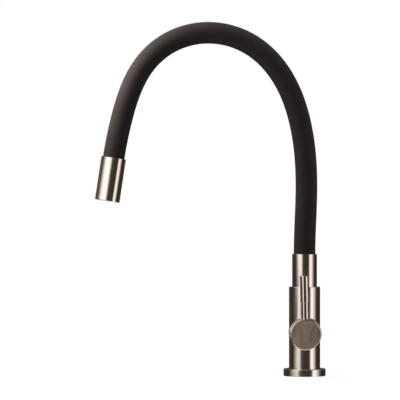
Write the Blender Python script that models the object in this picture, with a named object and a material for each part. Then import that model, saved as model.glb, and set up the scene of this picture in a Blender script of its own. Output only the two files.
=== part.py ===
"""A single-lever kitchen mixer tap: a brushed steel body with a side lever, and a bendable hose spout.

Units are metres, +Z is up, and the origin is the centre of the underside, on the worktop.
The spout reaches out along -X, and the lever faces -Y.
"""

import math

import bmesh
import bpy
from mathutils import Vector

MM = 0.001

# Clearances, and lengths that only the modelling needs
FIT = 0.3 * MM
OVERRUN = 1.5 * MM
MERGE_DISTANCE = 0.001 * MM
EDGE_BEVEL = 0.5 * MM

# Faces round each turned piece
BODY_STEPS = 32
INNER_STEPS = 20
SMALL_STEPS = 12
RING_STEPS = 6
DOME_STEPS = 3
SMOOTH_ANGLE = math.radians(35)

# Hose: what it is made of, from the outside in, and how it arches
HOSE_DIAMETER = 25.8 * MM
SLEEVE_WALL = 2.9 * MM
GOOSENECK_WALL = 2.5 * MM
CLAMP_WALL = 0.8 * MM
WATER_TUBE_WALL = 1.6 * MM
HOSE_LENGTH = 527.3 * MM
HEAD_LEAN = math.radians(8.6)
HOSE_BEND_SHARES = (
    (0.00, -0.19),
    (0.15, 0.18),
    (0.30, 0.37),
    (0.50, 0.93),
    (0.76, 1.00),
    (0.90, 0.19),
    (1.00, 0.20),
)
HOSE_STATIONS = 28
STATION_STEPS = 12
SLEEVE_SIDES = 18
GOOSENECK_SIDES = 10
WATER_TUBE_SIDES = 8

# Collar and the swivel under it
COLLAR_WALL = 1.55 * MM
COLLAR_HEIGHT = 38.9 * MM
BUSH_WALL = 1.55 * MM
BUSH_HEIGHT = 10 * MM
FOOT_HEIGHT = 4 * MM
WASHER_THICKNESS = 2 * MM
NIPPLE_PLUG_WALL = 3.9 * MM
NIPPLE_PLUG_LENGTH = 19.6 * MM
NIPPLE_BORE = 6 * MM
NIPPLE_HEAD_HEIGHT = 15.5 * MM
BARB_LENGTH = 24 * MM
SLEEVE_TUCK = 26 * MM
SLEEVE_END_GAP = 4 * MM
CLAMP_LENGTH = 12 * MM
CLAMP_INSET = 6 * MM
O_RING_THICKNESS = 1.1 * MM
O_RING_INSET = 2.6 * MM
SCREW_GROOVE_DEPTH = 1.5 * MM
SPOUT_SCREW_DIAMETER = 4 * MM

# Body
BODY_HEIGHT = 105.5 * MM
SHELL_WALL = 1.6 * MM
TOP_PLATE = 2.2 * MM
FLANGE_STEP = 6.5 * MM
FLANGE_HEIGHT = 8.6 * MM
FLANGE_BEVEL = 0.8 * MM
FLANGE_RECESS = 3 * MM
BASE_SEAL_WIDTH = 2.4 * MM
BASE_SEAL_THICKNESS = 1.2 * MM
BASE_SEAL_INSET = 2.5 * MM

# Supply side of the valve body: two tapped inlets and the tapped hole of the fixing stud
INLET_SPREAD = 15 * MM
INLET_FORWARD = 2 * MM
INLET_BORE = 9 * MM
INLET_DEPTH = 14 * MM
WATERWAY_BORE = 6.5 * MM
STUD_BORE = 6.8 * MM
STUD_DEPTH = 20 * MM
STUD_SETBACK = 9.5 * MM
OUTLET_WAY_BORE = 9 * MM

# Cartridge and what holds it, given outwards from the body's axis
BARREL_HEIGHT = 52 * MM
SEAT_OUT = 8 * MM
NECK_DIAMETER = 24 * MM
GASKET_THICKNESS = 1 * MM
HOLDER_FLOOR = 1 * MM
HOLDER_STEP = 2.1 * MM
HOLDER_WALL = 2.2 * MM
BARREL_WALL = 1.6 * MM
BARREL_START = 6 * MM
CARTRIDGE_DIAMETER = 25 * MM
CARTRIDGE_WALL = 1.3 * MM
CARTRIDGE_BASE_THICKNESS = 3 * MM
PORT_CIRCLE_RADIUS = 6 * MM
PORT_BORE = 4 * MM
PORT_SEAL_WALL = 1.1 * MM
PORT_SEAL_THICKNESS = 1.2 * MM
FIXED_DISC_DIAMETER = 19 * MM
MOVING_DISC_DIAMETER = 16 * MM
DISC_THICKNESS = 2.5 * MM
MIXING_POCKET_DIAMETER = 7 * MM
MIXING_POCKET_DEPTH = 1.2 * MM
CARRIER_PLATE = 2.2 * MM
CARRIER_RAIL = 1.6 * MM
CARRIER_RAIL_WIDTH = 8 * MM
CARRIER_FLOOR = 0.7 * MM
STEM_BALL_DIAMETER = 4 * MM
STEM_ARM = 6 * MM
STEM_WIDTH = 5 * MM
STEM_NECK_WIDTH = 3.2 * MM
ROTOR_FRONT = 3 * MM
ROTOR_NECK_DIAMETER = 14 * MM
HOUSING_FRONT = 1.7 * MM
PIVOT_PIN_DIAMETER = 2.4 * MM
PIVOT_PIN_INSET = 0.8 * MM
NUT_THICKNESS = 2.5 * MM
NUT_OPENING = 16 * MM
NUT_SLOT = 3 * MM
DOME_RIM = 1.2 * MM
DOME_RADIUS = 15 * MM
DOME_WALL = 1 * MM

# Lever
FLOW_ANGLE = math.radians(22)
LEVER_LEAN = math.radians(1.4)
HUB_DIAMETER = 36.2 * MM
HUB_THICKNESS = 18.5 * MM
HUB_GAP = 1 * MM
HUB_OPEN_GAP = 0.5 * MM
HUB_BEVEL = 1.2 * MM
HUB_FRONT_WALL = 4 * MM
DOME_CLEARANCE = 1 * MM
LEVER_ROD_DIAMETER = 8.8 * MM
LEVER_ROD_HEIGHT = 18.8 * MM
LEVER_ROD_DEPTH = 8 * MM
LEVER_TENON_DIAMETER = 5 * MM
LEVER_TENON_HEIGHT = 9 * MM
GRIP_DIAMETER = 10.1 * MM
GRIP_LENGTH = 30.8 * MM
GRIP_BEVEL = 0.4 * MM
HUB_SCREW_DIAMETER = 4 * MM
HUB_SCREW_LENGTH = 8 * MM
HUB_SCREW_FORWARD = 2.5 * MM
SCREW_CAP_THICKNESS = 1.6 * MM
HEX_SOCKET_WIDTH = 2 * MM
HEX_SOCKET_DEPTH = 1.8 * MM

# Outlet head
HEAD_LENGTH = 52 * MM
HEAD_WALL = 1.55 * MM
HEAD_LEDGE = 1.3 * MM
OUTLET_PLUG_HEIGHT = 9.7 * MM
AERATOR_DEPTH = 12 * MM
AERATOR_SEAL_WIDTH = 4 * MM
AERATOR_SEAL_THICKNESS = 1.4 * MM
AERATOR_WALL = 2 * MM
AERATOR_RECESS = 0.6 * MM
AERATOR_LIP = 0.8 * MM
INSERT_HEIGHT = 6.5 * MM
INSERT_HOLES = 8
INSERT_HOLE_DIAMETER = 2.4 * MM
INSERT_HOLE_CIRCLE_SHARE = 0.68

# Radii that follow from the sizes above, from the hose outwards
hose_radius = HOSE_DIAMETER / 2
sleeve_bore = hose_radius - SLEEVE_WALL
gooseneck_radius = sleeve_bore - FIT
gooseneck_bore = gooseneck_radius - GOOSENECK_WALL
clamp_radius = gooseneck_bore - FIT
clamp_bore = clamp_radius - CLAMP_WALL
water_tube_radius = clamp_bore - FIT
water_tube_bore = water_tube_radius - WATER_TUBE_WALL
barb_radius = water_tube_bore - FIT
collar_bore = hose_radius + FIT
collar_radius = collar_bore + COLLAR_WALL
bush_bore = collar_radius + FIT
bush_radius = bush_bore + BUSH_WALL
shell_bore = bush_radius + FIT
body_radius = shell_bore + SHELL_WALL
core_radius = shell_bore - FIT
flange_radius = body_radius + FLANGE_STEP
nipple_bore = NIPPLE_BORE / 2
plug_radius = nipple_bore + NIPPLE_PLUG_WALL
socket_radius = plug_radius + FIT

# Heights of the swivel, stacked down from the top plate
top_plate_under = BODY_HEIGHT - TOP_PLATE
bush_low = top_plate_under - FIT - BUSH_HEIGHT
foot_top = bush_low - FIT
foot_low = foot_top - FOOT_HEIGHT
washer_low = foot_low - FIT - WASHER_THICKNESS
core_top = washer_low - FIT
collar_top = BODY_HEIGHT + COLLAR_HEIGHT
plug_low = core_top - NIPPLE_PLUG_LENGTH
socket_floor = plug_low - FIT
nipple_head_top = foot_low + NIPPLE_HEAD_HEIGHT
spout_screw_height = plug_low + NIPPLE_PLUG_LENGTH / 2
spout_screw_radius = SPOUT_SCREW_DIAMETER / 2

# Places along the barrel, outwards from the body's axis
cartridge_radius = CARTRIDGE_DIAMETER / 2
holder_bore = cartridge_radius + FIT
nut_seat_radius = holder_bore + HOLDER_STEP
nut_radius = nut_seat_radius - FIT
holder_radius = nut_seat_radius + HOLDER_WALL
barrel_bore = holder_radius + FIT
barrel_radius = barrel_bore + BARREL_WALL
neck_radius = NECK_DIAMETER / 2
gasket_out = SEAT_OUT + FIT
holder_back = gasket_out + GASKET_THICKNESS + FIT
holder_shoulder = body_radius + FIT + EDGE_BEVEL / 2
holder_floor = holder_shoulder + HOLDER_FLOOR
base_back = holder_floor + FIT
base_front = base_back + CARTRIDGE_BASE_THICKNESS
fixed_disc_back = base_front + FIT
fixed_disc_front = fixed_disc_back + DISC_THICKNESS
moving_disc_back = fixed_disc_front + FIT
moving_disc_front = moving_disc_back + DISC_THICKNESS
carrier_back = moving_disc_front + FIT
carrier_front = carrier_back + CARRIER_PLATE
rail_front = carrier_front + CARRIER_RAIL
ball_radius = STEM_BALL_DIAMETER / 2
ball_out = carrier_back + CARRIER_FLOOR + FIT + ball_radius
pivot_out = ball_out + STEM_ARM
rotor_back = carrier_front + FIT
rotor_front = pivot_out + ROTOR_FRONT
rotor_radius = cartridge_radius - CARTRIDGE_WALL - FIT
rotor_neck_radius = ROTOR_NECK_DIAMETER / 2
housing_front_back = rotor_front + FIT
housing_front = housing_front_back + HOUSING_FRONT
nut_back = housing_front + FIT
nut_front = nut_back + NUT_THICKNESS
holder_front = nut_front
dome_back = nut_front + FIT
dome_front = dome_back + DOME_RIM
barrel_front = dome_front
hub_back = barrel_front + HUB_GAP
hub_front = hub_back + HUB_THICKNESS
hub_radius = HUB_DIAMETER / 2
hub_cavity_radius = DOME_RADIUS + DOME_CLEARANCE
stem_front = hub_front - HUB_FRONT_WALL - FIT
lever_rod_out = hub_back + HUB_THICKNESS / 2
hub_screw_out = lever_rod_out + HUB_SCREW_FORWARD
hub_screw_radius = HUB_SCREW_DIAMETER / 2

# Places along the head, measured down from where the hose enters it
head_bore = hose_radius + FIT
head_radius = head_bore + HEAD_WALL
ledge_radius = head_bore - HEAD_LEDGE
ledge_down = HEAD_LENGTH - AERATOR_DEPTH
outlet_plug_low = ledge_down - FIT
outlet_plug_top = outlet_plug_low - OUTLET_PLUG_HEIGHT
aerator_radius = ledge_radius - FIT
aerator_seal_top = outlet_plug_low + FIT
aerator_top = aerator_seal_top + AERATOR_SEAL_THICKNESS + FIT
aerator_low = HEAD_LENGTH - AERATOR_RECESS
insert_radius = aerator_radius - AERATOR_WALL - FIT


def clear_scene():
    for old in list(bpy.data.objects):
        bpy.data.objects.remove(old)


def finish(name, colour, metallic, roughness):
    """A material whose Principled shader has these values."""
    material = bpy.data.materials.new(name)
    material.use_nodes = True
    shader = material.node_tree.nodes["Principled BSDF"]
    shader.inputs["Base Color"].default_value = (*colour, 1)
    shader.inputs["Metallic"].default_value = metallic
    shader.inputs["Roughness"].default_value = roughness
    return material


def frame(name, location, turn=(0, 0, 0), parent=None):
    """An empty that carries pieces: on an axis, or where a piece starts."""
    empty = bpy.data.objects.new(name, None)
    bpy.context.collection.objects.link(empty)
    empty.location = location
    empty.rotation_euler = turn
    empty.parent = parent
    return empty


def piece(name, form, material, parent=None, location=(0, 0, 0), turn=(0, 0, 0)):
    """The object that a finished bmesh becomes, with its round faces shaded smooth."""
    bmesh.ops.remove_doubles(form, verts=form.verts, dist=MERGE_DISTANCE)
    bmesh.ops.recalc_face_normals(form, faces=form.faces)
    mesh = bpy.data.meshes.new(name)
    form.to_mesh(mesh)
    form.free()
    mesh.shade_smooth()
    mesh.set_sharp_from_angle(angle=SMOOTH_ANGLE)
    mesh.materials.append(material)
    made = bpy.data.objects.new(name, mesh)
    bpy.context.collection.objects.link(made)
    made.parent = parent
    made.location = location
    made.rotation_euler = turn
    return made


def turned_form(outline, steps):
    """A closed outline of (radius, height) points, spun round the Z axis."""
    form = bmesh.new()
    corners = [form.verts.new((radius, 0, height)) for radius, height in outline]
    following = corners[1:] + corners[:1]
    edges = []
    for here, there in zip(corners, following):
        if here.co.x > 0 or there.co.x > 0:
            edges.append(form.edges.new((here, there)))
    bmesh.ops.spin(
        form,
        geom=corners + edges,
        cent=(0, 0, 0),
        axis=(0, 0, 1),
        angle=math.tau,
        steps=steps,
        use_merge=True,
    )
    bmesh.ops.remove_doubles(form, verts=form.verts, dist=MERGE_DISTANCE)
    on_axis = [v for v in form.verts if math.hypot(v.co.x, v.co.y) < MERGE_DISTANCE]
    bmesh.ops.dissolve_verts(form, verts=[v for v in on_axis if in_flat_cap(v)])
    return form


def in_flat_cap(middle):
    """Whether a point on the axis lies in a flat end, which needs no point there."""
    rises = [abs(edge.other_vert(middle).co.z - middle.co.z) for edge in middle.link_edges]
    return max(rises) < MERGE_DISTANCE


def turned(name, outline, material, steps, parent=None, location=(0, 0, 0), turn=(0, 0, 0)):
    return piece(name, turned_form(outline, steps), material, parent, location, turn)


def ring_outline(bore, radius, low, high):
    return [(bore, low), (radius, low), (radius, high), (bore, high)]


def rod_outline(radius, low, high):
    return ring_outline(0, radius, low, high)


def o_ring_outline(middle_radius, thickness, height):
    """A round section of a few sides, at this mean radius and height."""
    points = []
    for step in range(RING_STEPS):
        angle = math.tau * step / RING_STEPS
        radius = middle_radius + thickness / 2 * math.cos(angle)
        points.append((radius, height + thickness / 2 * math.sin(angle)))
    return points


def block_form(low, high):
    form = bmesh.new()
    bmesh.ops.create_cube(form, size=1)
    for vertex in form.verts:
        share = vertex.co + Vector((0.5, 0.5, 0.5))
        vertex.co = [a + (b - a) * s for a, b, s in zip(low, high, share)]
    return form


def as_cutter(cutter):
    cutter.hide_render = True
    cutter.display_type = "WIRE"
    return cutter


def rod_cutter(name, radius, low, high, steps, parent=None, location=(0, 0, 0), turn=(0, 0, 0)):
    form = turned_form(rod_outline(radius, low, high), steps)
    return as_cutter(piece(name, form, steel, parent, location, turn))


def block_cutter(name, low, high, parent=None, location=(0, 0, 0), turn=(0, 0, 0)):
    return as_cutter(piece(name, block_form(low, high), steel, parent, location, turn))


def boolean(target, other, operation):
    modifier = target.modifiers.new(other.name, "BOOLEAN")
    modifier.object = other
    modifier.operation = operation
    modifier.solver = "EXACT"


def cut(target, *cutters):
    for cutter in cutters:
        boolean(target, cutter, "DIFFERENCE")


def join(target, *others):
    for other in others:
        boolean(target, as_cutter(other), "UNION")


def bend_share(share):
    """How tightly the hose bends at this share of its length, between the hand-set stations."""
    for (before, low), (after, high) in zip(HOSE_BEND_SHARES, HOSE_BEND_SHARES[1:]):
        if share <= after:
            return low + (high - low) * (share - before) / (after - before)
    return HOSE_BEND_SHARES[-1][1]


def hose_line():
    """(point, direction) at even steps along the exposed hose, from the collar's top to the head.

    The hose leaves the collar upwards and turns through half a circle less the head's lean. Each
    short step turns by its part of that, as the bend shares say.
    """
    steps = HOSE_STATIONS * STATION_STEPS
    bends = [bend_share((step + 0.5) / steps) for step in range(steps)]
    turn = math.pi - HEAD_LEAN
    point = Vector((0, 0, collar_top))
    heading = math.pi / 2
    line = [(point.copy(), Vector((0, 0, 1)))]
    for step, bend in enumerate(bends, 1):
        change = turn * bend / sum(bends)
        middle = heading - change / 2
        heading -= change
        point += HOSE_LENGTH / steps * Vector((-math.cos(middle), 0, math.sin(middle)))
        if step % STATION_STEPS == 0:
            line.append((point.copy(), Vector((-math.cos(heading), 0, math.sin(heading)))))
    return line


def hose_layer(name, radius, bore, sides, start_tuck, end_tuck, material, parent):
    """One layer of the hose: a tube along its line, tucked into the collar and into the head.

    The flats of its bore lie at the bore's radius, so that a round piece fits in it.
    """
    line = hose_line()
    first, first_way = line[0]
    last, last_way = line[-1]
    stations = [(first - first_way * start_tuck, first_way), *line]
    stations.append((last + last_way * end_tuck, last_way))
    form = bmesh.new()
    rings = []
    for point, way in stations:
        across = Vector((way.z, 0, -way.x))
        ring = []
        for reach in (radius, bore / math.cos(math.pi / sides)):
            loop = []
            for side in range(sides):
                angle = math.tau * side / sides
                offset = across * math.cos(angle) + Vector((0, 1, 0)) * math.sin(angle)
                loop.append(form.verts.new(point + offset * reach))
            ring.append(loop)
        rings.append(ring)
    for side in range(sides):
        beside = (side + 1) % sides
        for (outer, inner), (next_outer, next_inner) in zip(rings, rings[1:]):
            form.faces.new((outer[side], outer[beside], next_outer[beside], next_outer[side]))
            form.faces.new((inner[side], next_inner[side], next_inner[beside], inner[beside]))
        for outer, inner in (rings[0], rings[-1]):
            form.faces.new((outer[side], inner[side], inner[beside], outer[beside]))
    return piece(name, form, material, parent)


def make_flange():
    """The round foot: the body's lower edge stands in its recess, and a seal lies under it."""
    recess_radius = body_radius + FIT
    recess_floor = FLANGE_HEIGHT - FLANGE_RECESS
    bore = core_radius + FIT
    seal_radius = flange_radius - BASE_SEAL_INSET
    seal_bore = seal_radius - BASE_SEAL_WIDTH
    groove_top = BASE_SEAL_THICKNESS + FIT
    outline = [
        (bore, 0),
        (seal_bore - FIT, 0),
        (seal_bore - FIT, groove_top),
        (seal_radius + FIT, groove_top),
        (seal_radius + FIT, 0),
        (flange_radius - FLANGE_BEVEL, 0),
        (flange_radius, FLANGE_BEVEL),
        (flange_radius, FLANGE_HEIGHT - FLANGE_BEVEL),
        (flange_radius - FLANGE_BEVEL, FLANGE_HEIGHT),
        (recess_radius, FLANGE_HEIGHT),
        (recess_radius, recess_floor),
        (bore, recess_floor),
    ]
    turned("base_flange", outline, steel, BODY_STEPS)
    seal = ring_outline(seal_bore, seal_radius, 0, BASE_SEAL_THICKNESS)
    turned("base_seal", seal, rubber, INNER_STEPS)


def make_body_shell(barrel):
    """The outer tube of the body, closed at the top but for the collar, and open to the barrel."""
    low = FLANGE_HEIGHT - FLANGE_RECESS + FIT
    outline = [
        (shell_bore, low),
        (body_radius, low),
        (body_radius, BODY_HEIGHT - EDGE_BEVEL),
        (body_radius - EDGE_BEVEL, BODY_HEIGHT),
        (bush_bore, BODY_HEIGHT),
        (bush_bore, top_plate_under),
        (shell_bore, top_plate_under),
    ]
    shell = turned("body_shell", outline, steel, BODY_STEPS)
    neck_hole = rod_cutter(
        "shell_neck_hole", neck_radius + 2 * FIT, SEAT_OUT, body_radius + OVERRUN, INNER_STEPS, barrel
    )
    cut(shell, neck_hole, spout_screw_hole("shell_screw_hole"))


def spout_screw_hole(name):
    """A hole from the back of the body into the socket of the spout."""
    return rod_cutter(
        name,
        spout_screw_radius + FIT,
        plug_radius - OVERRUN,
        body_radius + OVERRUN,
        SMALL_STEPS,
        location=(0, 0, spout_screw_height),
        turn=(-math.pi / 2, 0, 0),
    )


def make_spout_screw():
    """The set screw at the back of the body, whose tip runs in a groove of the spout's plug."""
    tip = plug_radius - SCREW_GROOVE_DEPTH + FIT
    head = body_radius - EDGE_BEVEL
    screw = turned(
        "spout_set_screw",
        rod_outline(spout_screw_radius, tip, head),
        stainless,
        SMALL_STEPS,
        location=(0, 0, spout_screw_height),
        turn=(-math.pi / 2, 0, 0),
    )
    cut(screw, hex_socket("spout_screw_socket", head, screw))


def hex_socket(name, mouth, parent):
    """The six-sided recess for a key, with its mouth at this height of the screw."""
    low = mouth - HEX_SOCKET_DEPTH
    return rod_cutter(name, HEX_SOCKET_WIDTH / 2, low, mouth + OVERRUN, RING_STEPS, parent)


def port_places():
    """The centres of the outlet, hot and cold ports round the barrel's axis."""
    places = {}
    for name, turn in (("outlet", 90), ("hot", 210), ("cold", 330)):
        angle = math.radians(turn)
        x = PORT_CIRCLE_RADIUS * math.cos(angle)
        places[name] = (x, PORT_CIRCLE_RADIUS * math.sin(angle), 0)
    return places


def make_valve_body(barrel):
    """The brass core: two inlets and the stud hole below, the cartridge seat in front, the spout on top."""
    core = turned("valve_body", rod_outline(core_radius, 0, core_top), brass, INNER_STEPS)
    seat = rod_cutter(
        "seat_bore", neck_radius + FIT, SEAT_OUT, core_radius + OVERRUN, INNER_STEPS, barrel
    )
    socket = rod_cutter(
        "spout_socket", socket_radius, socket_floor, core_top + OVERRUN, INNER_STEPS
    )
    places = port_places()
    outlet_height = BARREL_HEIGHT + places["outlet"][1]
    outlet_low = outlet_height - OUTLET_WAY_BORE / 2
    outlet_way = rod_cutter(
        "outlet_way", OUTLET_WAY_BORE / 2, outlet_low, socket_floor + OVERRUN, SMALL_STEPS
    )
    stud = rod_cutter(
        "stud_hole",
        STUD_BORE / 2,
        -OVERRUN,
        STUD_DEPTH,
        SMALL_STEPS,
        location=(0, STUD_SETBACK, 0),
    )
    cut(core, seat, socket, outlet_way, stud, spout_screw_hole("core_screw_hole"))
    for name, side in (("hot", -1), ("cold", 1)):
        place = (side * INLET_SPREAD / 2, -INLET_FORWARD, 0)
        way_top = BARREL_HEIGHT + places[name][1] + PORT_BORE / 2
        inlet = rod_cutter(
            name + "_inlet", INLET_BORE / 2, -OVERRUN, INLET_DEPTH, SMALL_STEPS, location=place
        )
        way = rod_cutter(
            name + "_way", WATERWAY_BORE / 2, -OVERRUN, way_top, SMALL_STEPS, location=place
        )
        cut(core, inlet, way)
    for name, place in places.items():
        depth = 0 if name == "outlet" else INLET_FORWARD
        drilling = rod_cutter(
            name + "_drilling", PORT_BORE / 2, depth, SEAT_OUT + OVERRUN, SMALL_STEPS, barrel, place
        )
        cut(core, drilling)


def cut_ports(target, bore, low, high, parent):
    """The three ports, cut through a piece that lies across the barrel."""
    for name, place in port_places().items():
        hole = rod_cutter(
            f"{target.name}_{name}_port", bore / 2, low, high, SMALL_STEPS, parent, place
        )
        cut(target, hole)


def make_cartridge_holder(barrel):
    """The brass cup screwed into the valve body, its gasket, and the steel barrel over both."""
    gasket = turned(
        "holder_gasket",
        rod_outline(neck_radius - FIT, gasket_out, gasket_out + GASKET_THICKNESS),
        rubber,
        INNER_STEPS,
        barrel,
    )
    cut_ports(gasket, PORT_BORE, SEAT_OUT - OVERRUN, holder_back + OVERRUN, barrel)
    outline = [
        (0, holder_back),
        (neck_radius, holder_back),
        (neck_radius, holder_shoulder),
        (holder_radius, holder_shoulder),
        (holder_radius, holder_front),
        (nut_seat_radius, holder_front),
        (nut_seat_radius, housing_front),
        (holder_bore, housing_front),
        (holder_bore, holder_floor),
        (0, holder_floor),
    ]
    holder = turned("cartridge_holder", outline, brass, INNER_STEPS, barrel)
    cut_ports(holder, PORT_BORE, SEAT_OUT - OVERRUN, holder_floor + OVERRUN, barrel)
    tube = turned(
        "lever_barrel",
        [
            (barrel_bore, BARREL_START),
            (barrel_radius, BARREL_START),
            (barrel_radius, barrel_front - EDGE_BEVEL),
            (barrel_radius - EDGE_BEVEL, barrel_front),
            (barrel_bore, barrel_front),
        ],
        steel,
        BODY_STEPS,
        barrel,
    )
    reach = barrel_radius + OVERRUN
    saddle = rod_cutter(
        "barrel_saddle",
        body_radius + FIT,
        BARREL_HEIGHT - reach,
        BARREL_HEIGHT + reach,
        BODY_STEPS,
    )
    cut(tube, saddle)


def make_cartridge(barrel):
    """What stands still in the ceramic cartridge, and the nut and dome that cover it."""
    base = turned(
        "cartridge_base",
        rod_outline(cartridge_radius, base_back, base_front),
        plastic,
        INNER_STEPS,
        barrel,
    )
    seal_radius = PORT_BORE / 2 + PORT_SEAL_WALL
    seal_front = base_back + PORT_SEAL_THICKNESS
    for name, place in port_places().items():
        seal = ring_outline(PORT_BORE / 2, seal_radius, base_back, seal_front)
        turned(name + "_port_seal", seal, rubber, SMALL_STEPS, barrel, place)
        pocket = rod_cutter(
            name + "_seal_pocket",
            seal_radius + FIT,
            base_back - OVERRUN,
            seal_front + FIT,
            SMALL_STEPS,
            barrel,
            place,
        )
        cut(base, pocket)
    cut_ports(base, PORT_BORE, base_back - OVERRUN, base_front + OVERRUN, barrel)
    disc = turned(
        "fixed_disc",
        rod_outline(FIXED_DISC_DIAMETER / 2, fixed_disc_back, fixed_disc_front),
        ceramic,
        INNER_STEPS,
        barrel,
    )
    cut_ports(disc, PORT_BORE, base_front - OVERRUN, moving_disc_back + OVERRUN, barrel)
    bore = cartridge_radius - CARTRIDGE_WALL
    housing = [
        (bore, fixed_disc_back),
        (cartridge_radius, fixed_disc_back),
        (cartridge_radius, housing_front),
        (rotor_neck_radius + FIT, housing_front),
        (rotor_neck_radius + FIT, housing_front_back),
        (bore, housing_front_back),
    ]
    turned("cartridge_housing", housing, plastic, INNER_STEPS, barrel)
    nut = turned(
        "cartridge_nut",
        ring_outline(NUT_OPENING / 2, nut_radius, nut_back, nut_front),
        brass,
        INNER_STEPS,
        barrel,
    )
    across = nut_radius + OVERRUN
    slot = block_cutter(
        "nut_slot",
        (-across, -NUT_SLOT / 2, nut_back + NUT_THICKNESS / 2),
        (across, NUT_SLOT / 2, nut_front + OVERRUN),
        barrel,
    )
    cut(nut, slot)
    turned("cartridge_dome", dome_outline(), steel, INNER_STEPS, barrel)


def dome_outline():
    """A flat rim inside the barrel's mouth, with a ball-shaped collar round the lever's pivot."""
    opening = FLOW_ANGLE + math.asin((STEM_WIDTH / math.sqrt(2) + FIT) / DOME_RADIUS)
    inner = DOME_RADIUS - DOME_WALL
    rim_front = math.acos((dome_front - pivot_out) / DOME_RADIUS)
    rim_back = math.acos((dome_back - pivot_out) / inner)
    points = []
    for radius, start, end in ((DOME_RADIUS, rim_front, opening), (inner, opening, rim_back)):
        for step in range(DOME_STEPS + 1):
            angle = start + (end - start) * step / DOME_STEPS
            points.append((radius * math.sin(angle), pivot_out + radius * math.cos(angle)))
    points.append((barrel_bore - FIT, dome_back))
    points.append((barrel_bore - FIT, dome_front))
    return points


def make_rotor(lever):
    """The turning part of the cartridge, with the pin that the lever's stem tilts on."""
    outline = [
        (0, rotor_back),
        (rotor_radius, rotor_back),
        (rotor_radius, rotor_front),
        (rotor_neck_radius, rotor_front),
        (rotor_neck_radius, housing_front),
        (0, housing_front),
    ]
    rotor = turned("cartridge_rotor", outline, plastic, INNER_STEPS, lever)
    rail_half = CARRIER_RAIL_WIDTH / 2 + FIT
    channel = block_cutter(
        "rotor_channel",
        (-rail_half, -rotor_radius - OVERRUN, rotor_back - OVERRUN),
        (rail_half, rotor_radius + OVERRUN, rail_front + FIT),
        lever,
    )
    stem_half = STEM_WIDTH / 2 + FIT
    swing = stem_half / math.cos(FLOW_ANGLE) + (pivot_out - rotor_back) * math.tan(FLOW_ANGLE)
    slot = block_cutter(
        "rotor_slot",
        (-stem_half, -swing, rotor_back - OVERRUN),
        (stem_half, swing, housing_front + OVERRUN),
        lever,
    )
    pin_half = rotor_radius - PIVOT_PIN_INSET
    pin_hole = rod_cutter(
        "rotor_pin_hole",
        PIVOT_PIN_DIAMETER / 2 + FIT,
        -rotor_radius - OVERRUN,
        rotor_radius + OVERRUN,
        SMALL_STEPS,
        lever,
        (0, 0, pivot_out),
        (0, math.pi / 2, 0),
    )
    cut(rotor, channel, slot, pin_hole)
    turned(
        "pivot_pin",
        rod_outline(PIVOT_PIN_DIAMETER / 2, -pin_half, pin_half),
        stainless,
        SMALL_STEPS,
        lever,
        (0, 0, pivot_out),
        (0, math.pi / 2, 0),
    )


def make_moving_disc(lever):
    """The ceramic disc that slides and turns on the fixed one, and the carrier that moves it."""
    disc = turned(
        "moving_disc",
        rod_outline(MOVING_DISC_DIAMETER / 2, moving_disc_back, moving_disc_front),
        ceramic,
        INNER_STEPS,
        lever,
    )
    pocket = rod_cutter(
        "mixing_pocket",
        MIXING_POCKET_DIAMETER / 2,
        moving_disc_back - OVERRUN,
        moving_disc_back + MIXING_POCKET_DEPTH,
        INNER_STEPS,
        lever,
    )
    cut(disc, pocket)
    carrier = turned(
        "disc_carrier",
        rod_outline(MOVING_DISC_DIAMETER / 2, carrier_back, carrier_front),
        plastic,
        INNER_STEPS,
        lever,
    )
    rail_length = MOVING_DISC_DIAMETER / 2 - EDGE_BEVEL
    rail = piece(
        "carrier_rail",
        block_form(
            (-CARRIER_RAIL_WIDTH / 2, -rail_length, carrier_front - CARRIER_PLATE / 2),
            (CARRIER_RAIL_WIDTH / 2, rail_length, rail_front),
        ),
        plastic,
        lever,
    )
    join(carrier, rail)
    socket = rod_cutter(
        "ball_socket",
        ball_radius + FIT,
        carrier_back + CARRIER_FLOOR,
        rail_front + OVERRUN,
        SMALL_STEPS,
        lever,
    )
    cut(carrier, socket)


def make_stem(lever):
    """The brass stem: a ball that drives the carrier, a neck, and a square shank for the hub."""
    half = STEM_WIDTH / 2
    shoulder = pivot_out - half
    stem = piece(
        "lever_spindle",
        block_form((-half, -half, shoulder), (half, half, stem_front)),
        brass,
        lever,
    )
    neck_half = STEM_NECK_WIDTH / 2
    ball = []
    for step in range(SMALL_STEPS // 2 + 1):
        angle = math.pi * step / (SMALL_STEPS // 2)
        out = ball_out - ball_radius * math.cos(angle)
        ball.append((max(0, ball_radius * math.sin(angle)), out))
    neck = [point for point in ball if point[0] > neck_half or point[1] < ball_out]
    neck += [(neck_half, ball_out + ball_radius), (neck_half, pivot_out), (0, pivot_out)]
    neck[0] = (0, ball_out - ball_radius)
    join(stem, turned("stem_ball", neck, brass, SMALL_STEPS, lever))
    pin_hole = rod_cutter(
        "stem_pin_hole",
        PIVOT_PIN_DIAMETER / 2 + FIT / 2,
        -half - OVERRUN,
        half + OVERRUN,
        SMALL_STEPS,
        lever,
        (0, 0, pivot_out),
        (0, math.pi / 2, 0),
    )
    cut(stem, pin_hole)


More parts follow.
